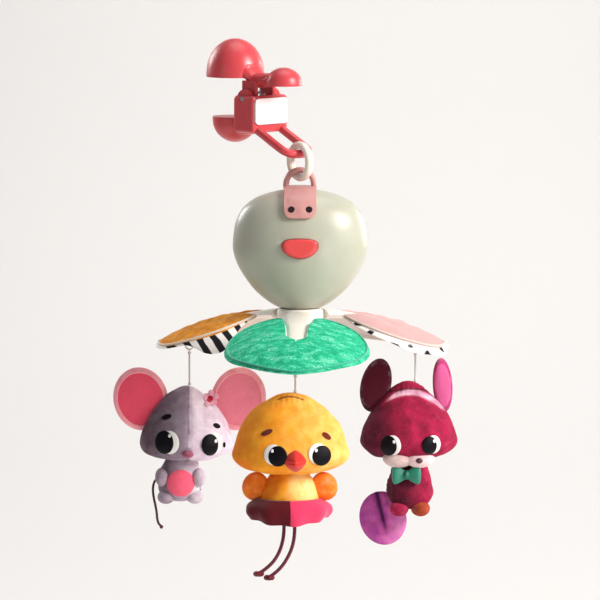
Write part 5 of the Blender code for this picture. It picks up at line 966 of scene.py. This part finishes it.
def chick():
    """The stuffed chick."""
    head_top = CHICK_TOP + mm(-3, 0, 0.8)
    carrier = (head_top, (73.5, 50, 52), FULL_HEAD)
    yellow = look("yellow_plush", "plush", (0.97, 0.46, 0.03), shade=(0.93, 0.62, 0.3), deep=(0.72, 0.4, 0.12),
                  light=(1.0, 0.78, 0.35), pile=1500.0)
    points, seam = stuffed(*carrier, 200, 110, 21, (seam_round(head_top, -3.4, 1.6, 8),), 0.4, 16)
    # Painted light on the right of the head, painted shade on its left
    across = (points[..., 0] - head_top[0]) / (36 * MM)
    painted_light_and_tone = np.clip(0.5 * across + 0.12, 0, 0.5) - np.clip(-across - 0.25, 0, 1) * 0.9
    Piece().grid(points, seam=seam, painted_light_and_tone=painted_light_and_tone).made(
        "chick_plush_head", [yellow], "chick", "yellow_plush", "chick_head", 0.85)

    body_top = CHICK_TOP + mm(-3.5, 0, -46.5)
    points, seam = stuffed(body_top, (37, 31, 34), BODY, 140, 80, 22, (), 0.35, 12)
    # Painted highlight low on the right of the front, painted shade on the left
    lit = spread(points, body_top, (7.5, -12), (10, 10), 3)
    shaded = spread(points, body_top, (-12, -8), (13, 12))
    painted_light_and_tone = np.where(points[..., 1] < body_top[1], 1.5 * lit - 0.75 * shaded, 0)
    Piece().grid(points, seam=seam, painted_light_and_tone=painted_light_and_tone).made(
        "chick_plush_body", [yellow], "chick", "yellow_plush", "chick_body", 0.85)

    orange = look("orange_plush", "plush", (0.93, 0.26, 0.02), shade=(0.85, 0.6, 0.45))
    for side, name in ((-1, "left"), (1, "right")):
        grid = pillow(CHICK_TOP + mm(-3.5 + side * 22, -1, -59), (16.4, 7, 18.4), -side * 24, 24 + side)
        Piece().grid(grid).made(
            f"chick_plush_wing_{name}", [orange], "chick", "orange_plush", f"chick_wing_{name}", 0.5)
    chick_skirt()

    face = Piece()
    eyes(face, carrier, (
        ((-8.1, -37.6), (12, 13.2), (-2.7, 0.8), (-3.4, 3.4)),
        ((19.7, -37.6), (12, 13), (-2.4, 1.4), (-3.4, 3.6)),
    ))
    lashes(face, carrier, (((-15.0, -23.0), (8.0, 3.2), 24), ((23, -25.6), (6.6, 3.0), -40)))
    face.made("chick_face", [INK, EYE_WHITE, look("brow_brown", "felt", (0.16, 0.02, 0.008))], "chick", "dark_cord")
    chick_beak(carrier)


def bunny_bow():
    """The bunny's bow: a pinched satin ribbon with a knot at its middle."""
    middle = BUNNY_TOP + mm(-6, -13.5, -59.5)
    half_length, half_depth, half_height = 9.7, 3.1, 6.4
    end_starts = 0.8
    station = np.linspace(-1, 1, 60)[:, None]
    away = np.abs(station)
    tall = 0.42 + 0.58 * np.sin(np.clip(away / end_starts, 0, 1) * math.pi / 2) ** 1.4
    tall *= np.where(away > end_starts, np.sqrt(np.maximum(1 - ((away - end_starts) / (1 - end_starts)) ** 2, 0)), 1)
    turn = around(60)
    pleat = 1 + 0.08 * np.cos(6 * turn) * (1 - away)
    grid = np.stack([
        station * half_length * MM * np.ones_like(turn), tall * half_depth * MM * np.cos(turn) * pleat,
        tall * half_height * MM * np.sin(turn) * pleat], -1) + middle
    skins = [look("teal_ribbon", "satin", (0.008, 0.22, 0.14), roughness=0.45, gloss=0.1),
             look("teal_ribbon_knot", "satin", (0.006, 0.16, 0.1), roughness=0.45)]
    Piece().grid(grid).grid(ball_grid(middle + mm(0, -0.6, 0), (4.8, 7.2, 6.4), 39, 0.15), 1).made(
        "bunny_ribbon_bow", skins, "bunny", "bow_green", "bunny_bow")


def bunny_tail():
    """The bunny's tail: a padded petal with a fold down its middle."""
    petal = look("petal_velour", "plush", (0.6, 0.12, 0.4), shade=(0.72, 0.5, 0.8), deep=(0.35, 0.2, 0.5),
                 light=(0.95, 0.4, 0.62), sheen=0.5)
    middle = BUNNY_TOP + mm(-21, 9.5, -91.5)
    grid = pillow(middle, (31, 7, 36), -15, 41, 160)
    across, up = grid[..., 0] - middle[0], grid[..., 2] - middle[2]
    away = np.abs(across + 0.25 * up)
    fold = np.clip(up / (12 * MM) + 1, 0, 1)
    pull = bell(away, 2.2 * MM) * fold
    grid[..., 1] += 1.6 * MM * pull * np.sign(middle[1] - grid[..., 1])
    # Painted light towards the right, painted shade along the fold
    painted_light_and_tone = np.clip(across / (18 * MM), -0.2, 0.6) - 1.1 * bell(away, 4.5 * MM) * pull
    Piece().grid(grid, seam=bell(away, 1.2 * MM) * pull, painted_light_and_tone=painted_light_and_tone).made(
        "bunny_petal_tail", [petal], "bunny", "petal_purple", "bunny_tail", 0.4)


def bunny():
    """The stuffed bunny."""
    head_top = BUNNY_TOP + mm(-4.5, 0, 1.2)
    carrier = (head_top, (64, 46, 52), HEAD)
    crimson = look("crimson_plush", "plush", (0.48, 0.008, 0.07), shade=(0.5, 0.35, 0.45), deep=(0.2, 0.25, 0.3),
                   light=(1.0, 0.62, 0.74), sheen=0.5)
    maroon = look("maroon_plush", "plush", (0.1, 0.003, 0.02), sheen=0.25)
    magenta = look("magenta_plush", "plush", (0.55, 0.05, 0.2), sheen=0.5)
    points, seam = stuffed(*carrier, 190, 110, 31, (seam_round(head_top, -13.5, 9.5, 24),), 0.4, 15)
    # Painted highlight in a band under the top seam, painted shade over the left of the head, and a touch darker from
    # just left of the middle
    across = (points[..., 0] - head_top[0]) / MM
    down = (points[..., 2] - head_top[2]) / MM
    band = -6.5 - 0.0235 * (across - 1) ** 2
    shine = bell(down - band, 1.5) * np.clip((across + 20) / 10, 0, 1) * np.clip((25 - across) / 6, 0, 1)
    painted_light_and_tone = 1.9 * shine * (points[..., 1] < head_top[1]) - 0.95 * step_down(across + 12, 3.5) - 0.08 * (across > -6)
    Piece().grid(points, seam=seam, painted_light_and_tone=painted_light_and_tone).made(
        "bunny_plush_head", [crimson], "bunny", "crimson_plush", "bunny_head", 0.85)

    front = np.array((0, front_of(*carrier, mm(-1.8, -50.0)) - head_top[1], 0))
    muzzle = Piece()
    # Painted light on the right lobe, painted shade on the left
    for side, middle, wide in ((-1, -6.9, 20.8), (1, 7.0, 20)):
        grid = ball_grid(head_top + mm(middle, 2.2, -49.6) + front, (wide, 16, 13.4), 33 + side)
        muzzle.grid(grid, painted_light_and_tone=0.5 * side)
    pale = look("pale_plush", "plush", (0.84, 0.72, 0.7), shade=(0.85, 0.72, 0.74), deep=(0.72, 0.72, 0.66),
                light=(1.0, 0.82, 0.84))
    muzzle.made("bunny_plush_muzzle", [pale], "bunny", "crimson_plush", "bunny_head", 0.8)

    for name, spot, ear_size, lean, skin, inner in (
        ("left", (-26, 2, -2), (20, 8, 36), 13, maroon, look("maroon_felt", "felt", (0.085, 0.003, 0.014))),
        ("right", (18, 2, -2), (13, 8, 36), -4, magenta, look("orchid_felt", "felt", (0.75, 0.13, 0.34))),
    ):
        grid = pillow(BUNNY_TOP + mm(*spot), ear_size, lean, 35)
        Piece().grid(grid, inner_slots(grid, 0.3)).made(
            f"bunny_plush_ear_{name}", [skin, inner], "bunny", "maroon_plush" if name == "left" else "magenta_plush",
            f"bunny_ear_{name}", 0.5)

    body_top = BUNNY_TOP + mm(-3.5, 0.6, -49.3)
    points, seam = stuffed(body_top, (31, 26, 35), BODY, 130, 80, 36, (seam_down(body_top, -14),), 0.35, 11)
    # Painted shade over the left of the body
    painted_light_and_tone = -step_down(points[..., 0] - body_top[0] - 2 * MM, 3.5 * MM)
    body = Piece().grid(points, seam=seam, painted_light_and_tone=painted_light_and_tone)
    for side in (-1, 1):
        foot = ball_grid(BUNNY_TOP + mm(-3.5 + side * 7, -5, -83), (12.4, 16.4, 10.4), 38 + side)
        body.grid(foot, 1 if side > 0 else 0)
    rust = look("rust_plush", "plush", (0.42, 0.06, 0.02))
    body.made("bunny_plush_body", [crimson, rust], "bunny", "crimson_plush", "bunny_body", 0.8)
    bunny_bow()
    bunny_tail()

    face = Piece()
    eyes(face, carrier, (
        ((-13.4, -40.6), (10.8, 13.6), (2.7, 0.3), (3.4, 3.0)),
        ((13.4, -40.4), (9.8, 12.4), (2.5, 0.5), (3.2, 3.0)),
    ))
    face.made("bunny_face", [INK, EYE_WHITE], "bunny", "dark_cord")
    plum = look("nose_plum", "satin", (0.09, 0.02, 0.035), roughness=0.4)
    Piece().grid(ball_grid(head_top + mm(6.8, -5.2, -50.6) + front, (4.6, 4.0, 3.8), 44, 0.1)).made(
        "bunny_nose", [plum], "bunny", "dark_cord")


mouse()
chick()
bunny()


# CAD pieces that keep their shape, refined where they curve

def corner_normals(points, faces, limit):
    """Each face corner's normal, shared with the faces round it that turn from it by less than a limit."""
    sides = points[faces]
    facing = np.cross(sides[:, 1] - sides[:, 0], sides[:, 2] - sides[:, 0])
    unit = facing / np.maximum(np.linalg.norm(facing, axis=1, keepdims=True), 1e-20)
    order = np.argsort(faces.reshape(-1), kind="stable")
    vertex = faces.reshape(-1)[order]
    face = order // 3
    count = np.bincount(vertex, minlength=len(points))
    start = np.concatenate([[0], np.cumsum(count)[:-1]])
    place = np.arange(len(vertex)) - start[vertex]
    total = np.zeros((len(vertex), 3))
    least = math.cos(math.radians(limit))
    for step in range(count.max()):
        live = step < count[vertex]
        other = start[vertex] + (place + step) % count[vertex]
        near = live & ((unit[face] * unit[face[other]]).sum(1) > least)
        total[near] += facing[face[other]][near]
    total /= np.maximum(np.linalg.norm(total, axis=1, keepdims=True), 1e-20)
    made = np.empty_like(total)
    made[order] = total
    return made.reshape(-1, 3, 3)


def rounded(points, faces, limit):
    """Every triangle as four, with the new points where a smooth surface through the corners would be."""
    normal = corner_normals(points, faces, limit)
    ends = np.concatenate([faces[:, [0, 1]], faces[:, [1, 2]], faces[:, [2, 0]]])
    at = np.concatenate([normal[:, [0, 1]], normal[:, [1, 2]], normal[:, [2, 0]]])
    middle = points[ends].mean(1)
    shift = np.zeros_like(middle)
    for end in (0, 1):
        away = ((middle - points[ends[:, end]]) * at[:, end]).sum(1)
        shift -= away[:, None] * at[:, end] / 4
    edges, which = np.unique(np.sort(ends, 1), axis=0, return_inverse=True)
    which = which.reshape(-1)
    order = np.argsort(np.linalg.norm(shift, axis=1))
    moved = np.zeros((len(edges), 3))
    moved[which[order]] = shift[order]
    fresh = points[edges].mean(1) + moved
    a, b, c = (which[index * len(faces):(index + 1) * len(faces)] + len(points) for index in range(3))
    split = np.concatenate([
        np.stack([faces[:, 0], a, c], 1), np.stack([faces[:, 1], b, a], 1),
        np.stack([faces[:, 2], c, b], 1), np.stack([a, b, c], 1)])
    return np.concatenate([points, fresh]), split


def refined(name, skin, limit):
    """A rounder copy of a CAD piece, which stands for it; edges sharper than a limit stay sharp."""
    source = frame["nodes"][name]
    work = bmesh.new()
    work.from_mesh(source.data)
    bmesh.ops.remove_doubles(work, verts=work.verts, dist=2e-6)
    bmesh.ops.triangulate(work, faces=work.faces)
    work.verts.index_update()
    points = np.array([corner.co[:] for corner in work.verts])
    faces = np.array([[corner.index for corner in face.verts] for face in work.faces])
    work.free()
    for _ in range(2):
        points, faces = rounded(points, faces, limit)
    mesh = bpy.data.meshes.new(f"{name}_round")
    mesh.from_pydata(points.tolist(), [], faces.tolist())
    mesh.shade_smooth()
    mesh.set_sharp_from_angle(angle=math.radians(limit * 0.75))
    mesh.materials.append(skin)
    made = placed(f"{name}_round", mesh)
    weighted = made.modifiers.new("weighted", "WEIGHTED_NORMAL")
    weighted.mode = "FACE_AREA"
    weighted.keep_sharp = True
    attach(made, source["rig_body"])
    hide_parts(name)


CORAL = look("coral_moulded", "moulded", (0.6, 0.06, 0.07), roughness=0.32, bump=0.15)
SAGE = look("sage_moulded", "moulded", (0.45, 0.45, 0.36), roughness=0.34, bump=0.2, depth=0.1)
IVORY = look("white_moulded", "moulded", (0.84, 0.8, 0.72), roughness=0.4)
CREAM = look("cream_moulded", "moulded", (0.84, 0.77, 0.66), roughness=0.3)
PINK = look("pink_moulded", "moulded", (0.56, 0.27, 0.25), roughness=0.4)
RED = look("red_moulded", "moulded", (0.78, 0.07, 0.07), roughness=0.28, depth=0.2)
for name, skin, record_slot, limit in (
    ("clip_frame", CORAL, "coral_plastic", 40), ("clip_lever", CORAL, "coral_plastic", 40),
    ("link_ring", CREAM, "cream_plastic", 44), ("hanger_tab", PINK, "pink_plastic", 40),
    ("front_shell", SAGE, "sage_plastic", 40), ("rear_shell", SAGE, "sage_plastic", 40),
    ("battery_door", SAGE, "sage_plastic", 40), ("play_button", RED, "red_plastic", 40),
    ("hub", IVORY, "white_plastic", 40), ("arm_front", IVORY, "white_plastic", 52),
    ("arm_right", IVORY, "white_plastic", 52), ("arm_left", IVORY, "white_plastic", 52),
):
    refined(name, skin, limit)

LOOKS = {
    look("plate_gloss", "moulded", (0.9, 0.76, 0.76), roughness=0.14, bump=0.03): ("clip_plate",),
    look("screw_dark", "metal", (0.1, 0.07, 0.07)): ("hanger_screw_left", "hanger_screw_right"),
    look("bright_steel", "metal", (0.62, 0.62, 0.64)): (
        "clip_pin", "clip_spring", "door_screw", "spindle", "spindle_clip", "shell_screw_upper_left",
        "shell_screw_upper_right", "shell_screw_lower_left", "shell_screw_lower_right"),
    look("nickel_plate", "metal", (0.7, 0.67, 0.6)): (
        "mouse_loop", "chick_loop", "bunny_loop", "battery_contact_left", "battery_contact_right"),
    look("cell_jacket", "metal", (0.72, 0.5, 0.12)): ("battery_lower", "battery_middle", "battery_upper"),
    look("tray_black", "moulded", (0.03, 0.03, 0.035), roughness=0.5): ("battery_tray",),
    look("board_green", "moulded", (0.02, 0.2, 0.08), roughness=0.35): ("circuit_board",),
    look("speaker_grey", "moulded", (0.12, 0.12, 0.13), roughness=0.55): ("speaker",),
}
for skin, names in LOOKS.items():
    for name in names:
        mesh = frame["nodes"][name].data
        mesh.materials.clear()
        mesh.materials.append(skin)


# Floor, backdrop and light

HALF_ROOM = 4.0


def paper(name, colour):
    """A matt surface for the room that shows from its front only."""
    made, tree = blank(name)
    front = node(tree, "BsdfDiffuse", {"Color": (*colour, 1)}).outputs[0]
    behind = node(tree, "NewGeometry").outputs["Backfacing"]
    clear = node(tree, "BsdfTransparent").outputs[0]
    both = node(tree, "MixShader", {0: behind, 1: front, 2: clear}).outputs[0]
    node(tree, "OutputMaterial", {"Surface": both})
    return made


def room():
    """A pale floor that sweeps up behind."""
    run = [(-3.0, -0.62), (0.9, -0.62), (1.25, -0.56), (1.5, -0.38), (1.6, -0.1), (1.62, 0.4), (1.62, 2.4)]
    line = path_of(np.array([(0, y, z) for y, z in run]), 40)
    points = np.stack([line - (HALF_ROOM, 0, 0), line + (HALF_ROOM, 0, 0)], 1)
    mesh = bpy.data.meshes.new("floor")
    faces = [(2 * i, 2 * i + 1, 2 * i + 3, 2 * i + 2) for i in range(len(line) - 1)]
    mesh.from_pydata(points.reshape(-1, 3).tolist(), [], faces)
    mesh.shade_smooth()
    mesh.materials.append(paper("floor_paper", (0.84, 0.82, 0.8)))
    placed("floor", mesh)


def lamp(name, place, size, power, colour=(1, 1, 1)):
    """A soft lamp that faces the mobile."""
    light = bpy.data.lights.new(name, "AREA")
    light.shape = "DISK"
    light.size = size
    light.energy = power
    light.color = colour
    aimed(placed(name, light), Vector(place))


room()
lamp("key", (1.35, -0.7, 0.8), 0.7, 42, (1, 0.98, 0.95))
lamp("fill", (-1.3, -1.3, 0.1), 1.4, 2, (0.93, 0.95, 1))
lamp("bounce", (0.5, -1.3, -0.5), 0.9, 6, (1, 0.97, 0.92))
lamp("rim_left", (-0.9, 0.8, 0.5), 0.6, 8)
lamp("rim_right", (1.0, 0.9, 0.2), 0.6, 6)
lamp("top", (0.1, 0.2, 1.5), 1.2, 8)
world = bpy.data.worlds.new("world")
world.use_nodes = True
sky = world.node_tree.nodes["Background"].inputs
sky["Color"].default_value = (0.93, 0.94, 1, 1)
sky["Strength"].default_value = 0.24
scene.world = world
scene.view_settings.view_transform = "Standard"
scene.view_settings.look = "None"
